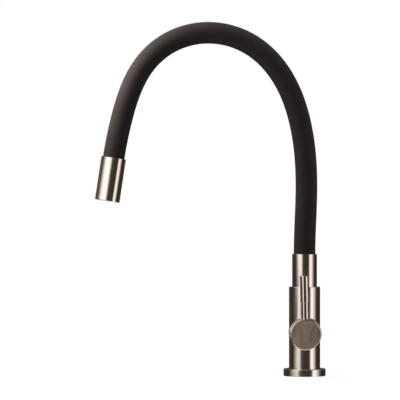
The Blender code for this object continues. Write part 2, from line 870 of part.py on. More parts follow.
def make_hub(lever):
    """The round knob on the barrel's end. Its back is cut away below, so that it can tilt."""
    outline = [
        (0, hub_back),
        (hub_radius - EDGE_BEVEL, hub_back),
        (hub_radius, hub_back + EDGE_BEVEL),
        (hub_radius, hub_front - HUB_BEVEL),
        (hub_radius - HUB_BEVEL, hub_front),
        (0, hub_front),
    ]
    hub = turned("lever_hub", outline, steel, BODY_STEPS, lever)
    reach = 2 * hub_radius
    open_back = barrel_front + HUB_OPEN_GAP - pivot_out
    wedge = block_cutter(
        "hub_wedge",
        (-reach, -reach, -reach),
        (reach, reach, open_back),
        lever,
        (0, 0, pivot_out),
        (-FLOW_ANGLE, 0, 0),
    )
    ball = []
    for step in range(SMALL_STEPS + 1):
        angle = math.pi * step / SMALL_STEPS
        out = pivot_out - hub_cavity_radius * math.cos(angle)
        ball.append((hub_cavity_radius * math.sin(angle), out))
    ball[0] = (0, pivot_out - hub_cavity_radius)
    ball[-1] = (0, pivot_out + hub_cavity_radius)
    cavity = as_cutter(turned("hub_cavity", ball, steel, INNER_STEPS, lever))
    half = STEM_WIDTH / 2 + FIT
    socket = block_cutter(
        "hub_socket", (-half, -half, pivot_out), (half, half, stem_front + FIT), lever
    )
    rod_hole = rod_cutter(
        "hub_rod_hole",
        LEVER_ROD_DIAMETER / 2 + FIT,
        hub_radius - LEVER_ROD_DEPTH,
        hub_radius + OVERRUN,
        INNER_STEPS,
        lever,
        (0, 0, lever_rod_out),
        (-math.pi / 2, 0, 0),
    )
    screw_hole = rod_cutter(
        "hub_screw_hole",
        hub_screw_radius + FIT,
        0,
        hub_radius + OVERRUN,
        SMALL_STEPS,
        lever,
        (0, 0, hub_screw_out),
        (math.pi / 2, 0, 0),
    )
    cut(hub, wedge, cavity, socket, rod_hole, screw_hole)


def make_lever(lever):
    """The pin lever: a rod screwed into the hub, with a slightly thicker grip screwed onto it."""
    place = (0, 0, lever_rod_out)
    turn = (-math.pi / 2, 0, 0)
    rod_radius = LEVER_ROD_DIAMETER / 2
    tenon = LEVER_TENON_DIAMETER / 2
    rod_top = hub_radius + LEVER_ROD_HEIGHT
    tenon_top = rod_top + LEVER_TENON_HEIGHT
    outline = [
        (0, hub_radius - LEVER_ROD_DEPTH + FIT),
        (rod_radius, hub_radius - LEVER_ROD_DEPTH + FIT),
        (rod_radius, rod_top),
        (tenon, rod_top),
        (tenon, tenon_top),
        (0, tenon_top),
    ]
    turned("lever_rod", outline, steel, INNER_STEPS, lever, place, turn)
    grip_radius = GRIP_DIAMETER / 2
    low = rod_top + FIT
    top = low + GRIP_LENGTH
    grip = [
        (tenon + FIT, low),
        (grip_radius - GRIP_BEVEL, low),
        (grip_radius, low + GRIP_BEVEL),
        (grip_radius, top - GRIP_BEVEL),
        (grip_radius - GRIP_BEVEL, top),
        (0, top),
        (0, tenon_top + FIT),
        (tenon + FIT, tenon_top + FIT),
    ]
    turned("lever_grip", grip, steel, INNER_STEPS, lever, place, turn)


def make_hub_screw(lever):
    """The set screw that holds the hub on the stem, and the cap over its hole, both from below."""
    place = (0, 0, hub_screw_out)
    turn = (math.pi / 2, 0, 0)
    tip = STEM_WIDTH / 2 + FIT
    end = tip + HUB_SCREW_LENGTH
    screw = turned(
        "hub_set_screw",
        rod_outline(hub_screw_radius, tip, end),
        stainless,
        SMALL_STEPS,
        lever,
        place,
        turn,
    )
    cut(screw, hex_socket("hub_screw_socket", end, screw))
    cap_mouth = hub_radius - EDGE_BEVEL
    turned(
        "hub_screw_cap",
        rod_outline(hub_screw_radius, cap_mouth - SCREW_CAP_THICKNESS, cap_mouth),
        plastic,
        SMALL_STEPS,
        lever,
        place,
        turn,
    )


def make_swivel():
    """The plastic washer and bush that the spout turns on."""
    washer = ring_outline(socket_radius, core_radius, washer_low, washer_low + WASHER_THICKNESS)
    turned("swivel_washer", washer, plastic, INNER_STEPS)
    bush = ring_outline(bush_bore, bush_radius, bush_low, bush_low + BUSH_HEIGHT)
    turned("swivel_bush", bush, plastic, BODY_STEPS)


def make_spout_nipple(spout):
    """The brass plug that turns in the valve body, with its two O-rings and its hose barb."""
    ring_middle = plug_radius - O_RING_THICKNESS / 2
    groove = ring_middle - O_RING_THICKNESS / 2 - FIT
    half = O_RING_THICKNESS / 2 + FIT
    low_ring = plug_low + O_RING_INSET
    high_ring = core_top - O_RING_INSET
    screw_groove = plug_radius - SCREW_GROOVE_DEPTH
    screw_half = spout_screw_radius + FIT
    head_radius_here = collar_bore - FIT
    outline = [(nipple_bore, plug_low), (plug_radius, plug_low)]
    cuts = (
        (low_ring, half, groove),
        (spout_screw_height, screw_half, screw_groove),
        (high_ring, half, groove),
    )
    for height, reach, depth in cuts:
        outline += [
            (plug_radius, height - reach),
            (depth, height - reach),
            (depth, height + reach),
            (plug_radius, height + reach),
        ]
    outline += [(plug_radius, foot_low), (head_radius_here, foot_low)]
    outline += [(head_radius_here, nipple_head_top), (barb_radius, nipple_head_top)]
    outline += [(barb_radius, nipple_head_top + BARB_LENGTH)]
    outline += [(nipple_bore, nipple_head_top + BARB_LENGTH)]
    turned("spout_nipple", outline, brass, INNER_STEPS, spout)
    for name, height in (("lower_o_ring", low_ring), ("upper_o_ring", high_ring)):
        ring = o_ring_outline(ring_middle, O_RING_THICKNESS, height)
        turned(name, ring, rubber, INNER_STEPS, spout)


def make_collar(spout):
    """The steel tube round the hose's foot, which turns with it in the body."""
    outline = [
        (collar_bore, foot_low),
        (bush_radius, foot_low),
        (bush_radius, foot_top),
        (collar_radius, foot_top),
        (collar_radius, collar_top - EDGE_BEVEL),
        (collar_radius - EDGE_BEVEL, collar_top),
        (collar_bore, collar_top),
    ]
    turned("spout_collar", outline, steel, BODY_STEPS, spout)


def make_hose(spout):
    """The rubber sleeve, the bendable gooseneck in it, and the water tube in that."""
    gooseneck_start = collar_top - nipple_head_top - FIT
    gooseneck_end = outlet_plug_top - FIT
    hose_layer(
        "hose_sleeve",
        hose_radius,
        sleeve_bore,
        SLEEVE_SIDES,
        SLEEVE_TUCK,
        outlet_plug_top - SLEEVE_END_GAP,
        silicone,
        spout,
    )
    hose_layer(
        "hose_gooseneck",
        gooseneck_radius,
        gooseneck_bore,
        GOOSENECK_SIDES,
        gooseneck_start,
        gooseneck_end,
        stainless,
        spout,
    )
    hose_layer(
        "water_tube",
        water_tube_radius,
        water_tube_bore,
        WATER_TUBE_SIDES,
        gooseneck_start,
        gooseneck_end,
        plastic,
        spout,
    )
    low = nipple_head_top + CLAMP_INSET
    clamp = ring_outline(clamp_bore, clamp_radius, low, low + CLAMP_LENGTH)
    turned("spout_tube_clamp", clamp, stainless, INNER_STEPS, spout)


def make_head(outlet):
    """The steel sleeve at the hose's end, the brass outlet inside it, and the aerator below."""
    outline = [
        (head_bore, 0),
        (head_radius - EDGE_BEVEL, 0),
        (head_radius, -EDGE_BEVEL),
        (head_radius, EDGE_BEVEL - HEAD_LENGTH),
        (head_radius - EDGE_BEVEL, -HEAD_LENGTH),
        (ledge_radius, -HEAD_LENGTH),
        (ledge_radius, -ledge_down),
        (head_bore, -ledge_down),
    ]
    turned("outlet_head", outline, steel, BODY_STEPS, outlet)
    plug = [
        (nipple_bore, -outlet_plug_low),
        (head_bore - FIT, -outlet_plug_low),
        (head_bore - FIT, -outlet_plug_top),
        (barb_radius, -outlet_plug_top),
        (barb_radius, BARB_LENGTH - outlet_plug_top),
        (nipple_bore, BARB_LENGTH - outlet_plug_top),
    ]
    turned("outlet_nipple", plug, brass, INNER_STEPS, outlet)
    low = CLAMP_INSET - outlet_plug_top
    clamp = ring_outline(clamp_bore, clamp_radius, low, low + CLAMP_LENGTH)
    turned("outlet_tube_clamp", clamp, stainless, INNER_STEPS, outlet)
    seal_low = -aerator_seal_top - AERATOR_SEAL_THICKNESS
    seal = ring_outline(
        aerator_radius - AERATOR_SEAL_WIDTH, aerator_radius, seal_low, -aerator_seal_top
    )
    turned("aerator_seal", seal, rubber, INNER_STEPS, outlet)
    make_aerator(outlet)


def make_aerator(outlet):
    """The screwed-in steel ring and the plastic insert that breaks up the water."""
    bore = aerator_radius - AERATOR_WALL
    lip_bore = bore - AERATOR_LIP
    housing = [
        (bore, -aerator_top),
        (aerator_radius, -aerator_top),
        (aerator_radius, -aerator_low),
        (lip_bore, -aerator_low),
        (lip_bore, AERATOR_LIP - aerator_low),
        (bore, AERATOR_LIP - aerator_low),
    ]
    turned("aerator_housing", housing, steel, INNER_STEPS, outlet)
    low = AERATOR_LIP - aerator_low + FIT
    insert = turned(
        "aerator_insert",
        rod_outline(insert_radius, low, low + INSERT_HEIGHT),
        plastic,
        INNER_STEPS,
        outlet,
    )
    circle = insert_radius * INSERT_HOLE_CIRCLE_SHARE
    for number in range(INSERT_HOLES):
        angle = math.tau * number / INSERT_HOLES
        hole = rod_cutter(
            f"insert_hole_{number}",
            INSERT_HOLE_DIAMETER / 2,
            low - OVERRUN,
            low + INSERT_HEIGHT + OVERRUN,
            RING_STEPS,
            outlet,
            (circle * math.cos(angle), circle * math.sin(angle), 0),
        )
        cut(insert, hole)


clear_scene()

steel = finish("brushed_steel", (0.55, 0.49, 0.44), 1, 0.3)
stainless = finish("stainless_wire", (0.62, 0.6, 0.58), 1, 0.35)
silicone = finish("black_silicone", (0.018, 0.016, 0.016), 0, 0.5)
brass = finish("brass", (0.68, 0.52, 0.26), 1, 0.35)
plastic = finish("white_plastic", (0.75, 0.75, 0.72), 0, 0.45)
ceramic = finish("ceramic", (0.85, 0.84, 0.8), 0, 0.25)
rubber = finish("seal_rubber", (0.03, 0.03, 0.03), 0, 0.7)

head_place = hose_line()[-1][0]
barrel_frame = frame("barrel_axis", (0, 0, BARREL_HEIGHT), (math.pi / 2, 0, 0))
lever_frame = frame("lever_axis", (0, 0, 0), (0, 0, LEVER_LEAN), barrel_frame)
spout_frame = frame("spout_axis", (0, 0, 0))
outlet_frame = frame("outlet_axis", head_place, (0, HEAD_LEAN, 0), spout_frame)

make_flange()
make_body_shell(barrel_frame)
make_valve_body(barrel_frame)
make_cartridge_holder(barrel_frame)
make_cartridge(barrel_frame)
make_rotor(lever_frame)
make_moving_disc(lever_frame)
make_stem(lever_frame)
make_hub(lever_frame)
make_lever(lever_frame)
make_hub_screw(lever_frame)
make_swivel()
make_spout_screw()
make_spout_nipple(spout_frame)
make_collar(spout_frame)
make_hose(spout_frame)
make_head(outlet_frame)
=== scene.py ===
"""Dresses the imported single-lever mixer tap for its picture, piece by piece as it is put together.

Lengths are in metres, +Z is up and the origin is the centre of the underside. The spout reaches
out along -X and the lever faces -Y.
"""

import math

import bmesh
import bpy
from mathutils import Matrix, Vector


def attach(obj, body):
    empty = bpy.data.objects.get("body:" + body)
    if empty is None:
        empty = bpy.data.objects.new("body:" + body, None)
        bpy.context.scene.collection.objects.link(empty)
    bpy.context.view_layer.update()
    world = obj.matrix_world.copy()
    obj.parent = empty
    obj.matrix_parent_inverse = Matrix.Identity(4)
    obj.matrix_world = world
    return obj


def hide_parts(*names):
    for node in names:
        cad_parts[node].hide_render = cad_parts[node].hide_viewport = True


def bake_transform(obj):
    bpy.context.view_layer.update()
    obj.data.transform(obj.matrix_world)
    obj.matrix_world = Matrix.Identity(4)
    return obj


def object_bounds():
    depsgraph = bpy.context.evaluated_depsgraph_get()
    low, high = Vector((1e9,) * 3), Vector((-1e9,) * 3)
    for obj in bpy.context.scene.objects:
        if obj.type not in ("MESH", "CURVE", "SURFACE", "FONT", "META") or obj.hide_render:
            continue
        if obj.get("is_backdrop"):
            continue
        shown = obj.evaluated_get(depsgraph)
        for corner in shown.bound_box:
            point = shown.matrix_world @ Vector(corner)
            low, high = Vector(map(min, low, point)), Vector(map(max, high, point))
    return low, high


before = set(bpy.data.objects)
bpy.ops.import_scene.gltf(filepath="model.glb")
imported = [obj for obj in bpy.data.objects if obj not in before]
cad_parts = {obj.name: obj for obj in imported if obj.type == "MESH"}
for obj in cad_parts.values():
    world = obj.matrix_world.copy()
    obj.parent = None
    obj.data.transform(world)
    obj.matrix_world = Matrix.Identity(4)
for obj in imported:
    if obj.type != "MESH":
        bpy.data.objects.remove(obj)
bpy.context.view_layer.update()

# ---- Base flange and its seal ----
# The foot of the tap: a ring turned from steel bar, brushed on the lathe. The body's edge stands
# in its recess, and a flat rubber seal in the groove below keeps water out of the worktop's hole.
MM = 0.001
FIT = 0.3 * MM
ROUND_STEPS = 144
ARC_STEPS = 5
EDGE_HOLD = 0.06 * MM
HELD_LENGTH = 8 * EDGE_HOLD
SAME_PLACE = 0.001 * MM
SHARP_ANGLE = math.radians(38)
UPRIGHT = Matrix.Identity(4)
BODY_RADIUS = 18.5 * MM
CORE_RADIUS = 16.6 * MM
FLANGE_RADIUS = 25 * MM
FLANGE_HEIGHT = 8.6 * MM
FLANGE_FILLET = 1.1 * MM
THIN_EDGE = 0.15 * MM
EASED_EDGE = 0.25 * MM
FULL_EDGE = 0.4 * MM
RECESS_DEPTH = 3 * MM
SEAL_OUTER = 22.5 * MM
SEAL_INNER = 20.1 * MM
SEAL_THICKNESS = 1.2 * MM
STEEL_COLOUR = (0.60, 0.54, 0.48)
STEEL_VARIATION = 0.07
HAIR_LINES = (5200.0, 3.0, 0.7)
DEEP_LINES = (900.0, 2.0, 0.6)
SMUDGES = (55.0, 3.0, 0.55)
LINE_DRIFT = 0.012


class Socket:
    """One output of a node tree. A sum on it adds the Math node that works it out."""

    def __init__(self, tree, output):
        self.tree = tree
        self.output = output

    def node(self, kind, feeds, give=0, **settings):
        """An output of a new node in this tree: its settings, then what feeds its sockets."""
        made = self.tree.nodes.new(kind)
        for setting, value in settings.items():
            setattr(made, setting, value)
        for key, value in feeds.items():
            if isinstance(value, Socket):
                self.tree.links.new(value.output, made.inputs[key])
            else:
                made.inputs[key].default_value = value
        return Socket(self.tree, made.outputs[give])

    def maths(self, operation, first, second=0.0):
        return self.node("ShaderNodeMath", {0: first, 1: second}, operation=operation)

    def __add__(self, other):
        return self.maths("ADD", self, other)

    def __sub__(self, other):
        return self.maths("SUBTRACT", self, other)

    def __rsub__(self, other):
        return self.maths("SUBTRACT", other, self)

    def __mul__(self, other):
        return self.maths("MULTIPLY", self, other)

    def __truediv__(self, other):
        return self.maths("DIVIDE", self, other)

    def __rtruediv__(self, other):
        return self.maths("DIVIDE", other, self)

    __radd__ = __add__
    __rmul__ = __mul__


def new_material(name, colour, metallic, roughness, **fixed):
    """A Principled material of plain values, its shader, and the object's own coordinates."""
    material = bpy.data.materials.new(name)
    material.use_nodes = True
    shader = material.node_tree.nodes["Principled BSDF"]
    shader.inputs["Base Color"].default_value = (*colour, 1)
    shader.inputs["Metallic"].default_value = metallic
    shader.inputs["Roughness"].default_value = roughness
    for label, value in fixed.items():
        shader.inputs[label.replace("_", " ")].default_value = value
    place = material.node_tree.nodes.new("ShaderNodeTexCoord")
    return material, shader, Socket(material.node_tree, place.outputs["Object"])


def drive(shader, **feeds):
    """Links what changes over the surface to the shader's sockets."""
    for label, value in feeds.items():
        value.tree.links.new(value.output, shader.inputs[label.replace("_", " ")])


def in_place(where, own_frame):
    """The object's coordinates as seen from a turned piece's own axis."""
    back = own_frame.inverted()
    return where.node(
        "ShaderNodeMapping",
        {"Vector": where, "Location": back.to_translation(), "Rotation": back.to_euler()},
    )


def stretched(where, scale):
    """Coordinates scaled along each axis."""
    return where.node("ShaderNodeVectorMath", {0: where, 1: scale}, operation="MULTIPLY")


def grain(where, waves, detail=2.0, rough=0.5):
    """Smooth noise of this many waves to the metre, the same all ways or along each axis."""
    if isinstance(waves, tuple):
        where, waves = stretched(where, waves), 1.0
    feeds = {"Vector": where, "Scale": waves, "Detail": detail, "Roughness": rough}
    return where.node("ShaderNodeTexNoise", feeds, noise_dimensions="3D")


def weighed(layers, shares, least=0.0):
    """A least value, and what each layer of noise adds to it by its share."""
    total = least
    for layer, share in zip(layers, shares):
        total = total + layer * share
    return total


def tinted(factor, light, dark):
    """A colour between these two, by a share from 0 to 1."""
    feeds = {"Factor": factor, 6: (*dark, 1), 7: (*light, 1)}
    return factor.node("ShaderNodeMix", feeds, 2, data_type="RGBA")


def bumped(height, strength, depth):
    """The surface's normal over relief of this strength and depth."""
    feeds = {"Height": height, "Strength": strength, "Distance": depth}
    return height.node("ShaderNodeBump", feeds)


def brushed(shader, colour, variation, dullness, layers, tones, glosses, reliefs, relief):
    """Lets layers of brush marks change a steel's tone, gloss and relief, each by its shares."""
    light, dark = [[part * (1 + way * variation) for part in colour] for way in (1, -1)]
    drive(
        shader,
        Base_Color=tinted(weighed(layers, tones), light, dark),
        Roughness=weighed(layers, glosses, dullness),
        Normal=bumped(weighed(layers, reliefs), *relief),
    )


def lathe_brushed_steel(name, own_frame, roughness=0.15):
    """Steel brushed as it turned: hair lines run round the axis, with a few deeper ones."""
    material, shader, where = new_material(name, STEEL_COLOUR, 1.0, roughness)
    own = in_place(where, own_frame)
    along = own.node("ShaderNodeSeparateXYZ", {0: own}, 2)
    flat = stretched(own, (1, 1, 0))
    radius = flat.node("ShaderNodeVectorMath", {0: flat}, 1, operation="LENGTH")
    lines = own.node("ShaderNodeCombineXYZ", {0: along - radius, 1: 0.0, 2: 0.0})
    drift = stretched(own, (LINE_DRIFT, LINE_DRIFT, 0.0))
    across = own.node("ShaderNodeVectorMath", {0: lines, 1: drift}, operation="ADD")
    glosses = (0.08, 0.05, 0.06)
    brushed(
        shader,
        STEEL_COLOUR,
        STEEL_VARIATION,
        dullness=roughness - sum(glosses) / 2,
        layers=[grain(across, *HAIR_LINES), grain(across, *DEEP_LINES), grain(own, *SMUDGES)],
        tones=(0.45, 0.35, 0.2),
        glosses=glosses,
        reliefs=(1.0, 0.6),
        relief=(0.05, 0.02 * MM),
    )
    return material


def rounded(outline):
    """A closed outline of (radius, height, fillet) corners as points: arcs, and held straights."""
    corners = [Vector(corner[:2]) for corner in outline]
    points = []
    for index, (here, corner) in enumerate(zip(corners, outline)):
        fillet = corner[2] if len(corner) > 2 else 0
        if fillet == 0:
            points.append(here)
            continue
        back = (corners[index - 1] - here).normalized()
        on = (corners[(index + 1) % len(corners)] - here).normalized()
        half = back.angle(on) / 2
        centre = here + (back + on).normalized() * fillet / math.sin(half)
        reach = fillet / math.tan(half)
        start = here + back * reach - centre
        end = here + on * reach - centre
        sweep = math.atan2(start.x * end.y - start.y * end.x, start.dot(end))
        for step in range(ARC_STEPS + 1):
            turn = sweep * step / ARC_STEPS
            points.append(centre + Matrix.Rotation(turn, 2) @ start)
    held = []
    for here, there in zip(points, points[1:] + points[:1]):
        held.append(here)
        way = there - here
        if way.length > HELD_LENGTH:
            held.append(here + way.normalized() * EDGE_HOLD)
            held.append(there - way.normalized() * EDGE_HOLD)
    return held


def shown(name, mesh, *materials):
    """An object for a finished mesh, smooth but for its sharp edges."""
    mesh.name = name
    mesh.shade_smooth()
    mesh.set_sharp_from_angle(angle=SHARP_ANGLE)
    for material in materials:
        mesh.materials.append(material)
    made = bpy.data.objects.new(name, mesh)
    bpy.context.scene.collection.objects.link(made)
    return made


def formed(name, form, own_frame, *materials):
    """An object for a form that was built about the origin, put in its frame."""
    form.transform(own_frame)
    mesh = bpy.data.meshes.new(name)
    form.to_mesh(mesh)
    form.free()
    return shown(name, mesh, *materials)


def turned(name, outline, own_frame, *materials, steps=ROUND_STEPS):
    """A piece turned on the lathe: its outline spun round the frame's Z axis."""
    form = bmesh.new()
    ring = [form.verts.new((max(point.x, 0), 0, point.y)) for point in rounded(outline)]
    edges = []
    for here, there in zip(ring, ring[1:] + ring[:1]):
        if here.co.x > 0 or there.co.x > 0:
            edges.append(form.edges.new((here, there)))
    bmesh.ops.spin(
        form,
        geom=ring + edges,
        cent=(0, 0, 0),
        axis=(0, 0, 1),
        angle=math.tau,
        steps=steps,
        use_merge=True,
    )
    bmesh.ops.remove_doubles(form, verts=form.verts, dist=SAME_PLACE)
    bmesh.ops.recalc_face_normals(form, faces=form.faces)
    return formed(name, form, own_frame, *materials)


def ring_outline(bore, radius, low, high, fillet=0.0):
    """The section of a plain ring, with all its edges rounded alike."""
    corners = ((bore, low), (radius, low), (radius, high), (bore, high))
    return [(*corner, fillet) for corner in corners]


def rod_outline(radius, low, high, fillet=0.0):
    """The section of a plain rod, with both its rims rounded alike."""
    return [(0, low), (radius, low, fillet), (radius, high, fillet), (0, high)]


def fitted(made, body):
    """Puts a finished piece in place of its CAD node, on the body that it moves with."""
    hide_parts(made.name.removesuffix("_piece"))
    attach(made, body)


def machined(node, outline, own_frame, material, body, steps=ROUND_STEPS):
    """Turns the piece that takes a CAD node's place."""
    fitted(turned(node + "_piece", outline, own_frame, material, steps=steps), body)


def finished(node, material):
    """A CAD node that keeps its own mesh and gets a better finish."""
    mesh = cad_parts[node].data
    mesh.materials.clear()
    mesh.materials.append(material)


flange_bore = CORE_RADIUS + FIT
recess_floor = FLANGE_HEIGHT - RECESS_DEPTH
groove_top = SEAL_THICKNESS + FIT
upright_steel = lathe_brushed_steel("upright_brushed_steel", UPRIGHT)
flange_outline = [
    (flange_bore, 0),
    (SEAL_INNER - FIT, 0),
    (SEAL_INNER - FIT, groove_top),
    (SEAL_OUTER + FIT, groove_top),
    (SEAL_OUTER + FIT, 0),
    (FLANGE_RADIUS, 0, FULL_EDGE),
    (FLANGE_RADIUS, FLANGE_HEIGHT, FLANGE_FILLET),
    (BODY_RADIUS + FIT, FLANGE_HEIGHT, THIN_EDGE),
    (BODY_RADIUS + FIT, recess_floor),
    (flange_bore, recess_floor),
]
machined("base_flange", flange_outline, UPRIGHT, upright_steel, "root")


def patchy(name, colour, tints, patches, gloss, metallic=0.0, skin=None, relief=None, **fixed):
    """A finish that isn't brushed: slow patches of tone, under a fine skin with some relief.

    tints are light and dark. patches and skin are noises as grain takes them. gloss is the least
    roughness, then what each noise adds to it. relief is the skin's strength and depth.
    """
    least, *shares = gloss
    middle = least + sum(shares) / 2
    material, shader, where = new_material(name, colour, metallic, middle, **fixed)
    noises = [grain(where, *noise) for noise in (patches, skin) if noise]
    drive(
        shader,
        Base_Color=tinted(noises[0], *tints),
        Roughness=weighed(noises, shares, least),
    )
    if skin:
        drive(shader, Normal=bumped(noises[1], *relief))
    return material


# Moulded black rubber: dull, with a fine grain and a grey bloom
rubber = patchy(
    "seal_rubber_finish",
    colour=(0.03, 0.03, 0.03),
    tints=((0.042, 0.041, 0.040), (0.020, 0.020, 0.020)),
    patches=(220.0, 3.0),
    gloss=(0.58, 0.2),
    skin=(3500.0, 2.0),
    relief=(0.25, 0.03 * MM),
)
seal_section = ring_outline(SEAL_INNER, SEAL_OUTER, 0, SEAL_THICKNESS, EASED_EDGE)
machined("base_seal", seal_section, UPRIGHT, rubber, "root")

# ---- Valve body ----
# The brass core that fills the body: forged, then bored for two inlets, the fixing stud, three
# waterways, the cartridge's seat and the spout's socket. It keeps its CAD shape with all bores.
BRASS_COLOUR = (0.70, 0.53, 0.27)

# Machined brass: faint tool rings, with duller and browner patches
brass = patchy(
    "turned_brass",
    colour=BRASS_COLOUR,
    metallic=1.0,
    tints=(BRASS_COLOUR, (0.50, 0.35, 0.17)),
    patches=(130.0, 3.0),
    gloss=(0.2, 0.12, 0.12),
    skin=((40, 40, 4200), 2.0),
    relief=(0.12, 0.03 * MM),
)
finished("valve_body", brass)

# ---- Body ----
# The outer tube: drawn steel, brushed round its axis, with a rounded top edge that closes in on
# the collar. It is open to the lever's barrel in front and drilled for a set screw at the back.
BODY_LOW = 5.9 * MM
BODY_HEIGHT = 105.5 * MM
SHELL_BORE = 16.9 * MM
COLLAR_HOLE = 15.05 * MM
TOP_PLATE = 2.2 * MM
BODY_FILLET = 0.55 * MM
FINE_EDGE = 0.2 * MM
BARREL_HEIGHT = 52 * MM
BARREL_FRAME = Matrix.Translation((0, 0, BARREL_HEIGHT)) @ Matrix.Rotation(math.pi / 2, 4, "X")
NECK_HOLE_RADIUS = 12.6 * MM
NECK_HOLE_START = 8 * MM
SCREW_HEIGHT = 76.3 * MM
SCREW_RADIUS = 2 * MM
SCREW_HOLE_START = 10 * MM
SCREW_FRAME = Matrix.Translation((0, 0, SCREW_HEIGHT)) @ Matrix.Rotation(-math.pi / 2, 4, "X")
OVERRUN = 2 * MM
SMALL_STEPS = ROUND_STEPS // 3


def carved(made, *cutters):
    """Cuts the shapes out of a piece and leaves it a plain mesh."""
    for cutter in cutters:
        modifier = made.modifiers.new(cutter.name, "BOOLEAN")
        modifier.object = cutter
        modifier.operation = "DIFFERENCE"
        modifier.solver = "EXACT"
    graph = bpy.context.evaluated_depsgraph_get()
    mesh = bpy.data.meshes.new_from_object(made.evaluated_get(graph))
    made.modifiers.clear()
    made.data = mesh
    mesh.shade_smooth()
    mesh.set_sharp_from_angle(angle=SHARP_ANGLE)
    for cutter in cutters:
        bpy.data.objects.remove(cutter)


def drill(name, radius, low, high, own_frame, steps=SMALL_STEPS):
    """A round cutter along the frame's Z axis."""
    return turned(name, rod_outline(radius, low, high), own_frame, steps=steps)


shell_outline = [
    (SHELL_BORE, BODY_LOW),
    (BODY_RADIUS, BODY_LOW),
    (BODY_RADIUS, BODY_HEIGHT, BODY_FILLET),
    (COLLAR_HOLE, BODY_HEIGHT, FINE_EDGE),
    (COLLAR_HOLE, BODY_HEIGHT - TOP_PLATE),
    (SHELL_BORE, BODY_HEIGHT - TOP_PLATE),
]
shell = turned("body_shell_piece", shell_outline, UPRIGHT, upright_steel)
outside = BODY_RADIUS + OVERRUN
carved(
    shell,
    drill("neck_hole", NECK_HOLE_RADIUS, NECK_HOLE_START, outside, BARREL_FRAME),
    drill("screw_hole", SCREW_RADIUS + FIT, SCREW_HOLE_START, outside, SCREW_FRAME),
)
fitted(shell, "root")

# ---- Cartridge holder and barrel ----
# A brass cup screws into the valve body over a rubber gasket and holds the cartridge. The short
# steel tube over it is brushed round its own axis, and its back is cut to the body's curve.
BARREL_START = 6 * MM
BARREL_FRONT = 47.55 * MM
BARREL_RADIUS = 19 * MM
BARREL_BORE = 17.4 * MM
BARREL_FILLET = 0.85 * MM

finished("holder_gasket", rubber)
finished("cartridge_holder", brass)
barrel_steel = lathe_brushed_steel("barrel_brushed_steel", BARREL_FRAME)
barrel_outline = [
    (BARREL_BORE, BARREL_START),
    (BARREL_RADIUS, BARREL_START),
    (BARREL_RADIUS, BARREL_FRONT, BARREL_FILLET),
    (BARREL_BORE, BARREL_FRONT, FINE_EDGE),
]
barrel = turned("lever_barrel_piece", barrel_outline, BARREL_FRAME, barrel_steel)
reach = BARREL_RADIUS + OVERRUN
saddle_low = BARREL_HEIGHT - reach
saddle_high = BARREL_HEIGHT + reach
carved(barrel, drill("saddle", BODY_RADIUS + FIT, saddle_low, saddle_high, UPRIGHT, ROUND_STEPS))
fitted(barrel, "root")

# ---- Ceramic cartridge ----
# A plastic housing with a base, three rubber port seals and two lapped ceramic discs. A plastic
# rotor with a steel pin turns in it, and a slotted brass nut and a steel dome close it in front.
LEVER_LEAN = math.radians(1.4)
LEVER_FRAME = BARREL_FRAME @ Matrix.Rotation(LEVER_LEAN, 4, "Z")
PIVOT_OUT = 38.25 * MM
DOME_BACK = 46.35 * MM
DOME_RADIUS = 15 * MM
DOME_WALL = 1 * MM
DOME_OPENING = math.radians(36.8)
DOME_STEPS = 14

# White acetal: a slight milky variation and a fine moulded grain
plastic = patchy(
    "moulded_plastic",
    colour=(0.75, 0.75, 0.72),
    tints=((0.79, 0.79, 0.76), (0.70, 0.70, 0.66)),
    patches=(160.0, 2.0),
    gloss=(0.34, 0.14),
    skin=(2600.0, 1.0),
    relief=(0.10, 0.02 * MM),
)
# White alumina, ground flat: faintly speckled, and glossier where it is lapped
ceramic = patchy(
    "lapped_ceramic",
    colour=(0.85, 0.84, 0.80),
    tints=((0.88, 0.87, 0.84), (0.80, 0.79, 0.75)),
    patches=(1800.0, 3.0),
    gloss=(0.1, 0.16),
)
# Stainless steel as drawn or turned: plain grey, with fine draw lines along its length
stainless = patchy(
    "drawn_stainless",
    colour=(0.60, 0.58, 0.56),
    metallic=1.0,
    tints=((0.64, 0.62, 0.60), (0.50, 0.48, 0.46)),
    patches=(240.0, 2.0),
    gloss=(0.2, 0.1, 0.12),
    skin=((2600, 2600, 120), 2.0),
    relief=(0.10, 0.02 * MM),
)
for material, nodes in (
    (rubber, ("hot_port_seal", "cold_port_seal", "outlet_port_seal")),
    (plastic, ("cartridge_base", "cartridge_housing", "cartridge_rotor", "disc_carrier")),
    (ceramic, ("fixed_disc", "moving_disc")),
    (brass, ("cartridge_nut",)),
    (stainless, ("pivot_pin",)),
):
    for node in nodes:
        finished(node, material)


def dome_outline():
    """A flat rim in the barrel's mouth, and a ball-shaped collar round the lever's pivot."""
    inner = DOME_RADIUS - DOME_WALL
    rim_front = math.acos((BARREL_FRONT - PIVOT_OUT) / DOME_RADIUS)
    rim_back = math.acos((DOME_BACK - PIVOT_OUT) / inner)
    points = []
    for radius, start, end in (
        (DOME_RADIUS, rim_front, DOME_OPENING),
        (inner, DOME_OPENING, rim_back),
    ):
        for step in range(DOME_STEPS + 1):
            angle = start + (end - start) * step / DOME_STEPS
            points.append((radius * math.sin(angle), PIVOT_OUT + radius * math.cos(angle)))
    points.append((BARREL_BORE - FIT, DOME_BACK))
    points.append((BARREL_BORE - FIT, BARREL_FRONT, THIN_EDGE))
    return points


machined("cartridge_dome", dome_outline(), BARREL_FRAME, barrel_steel, "root")

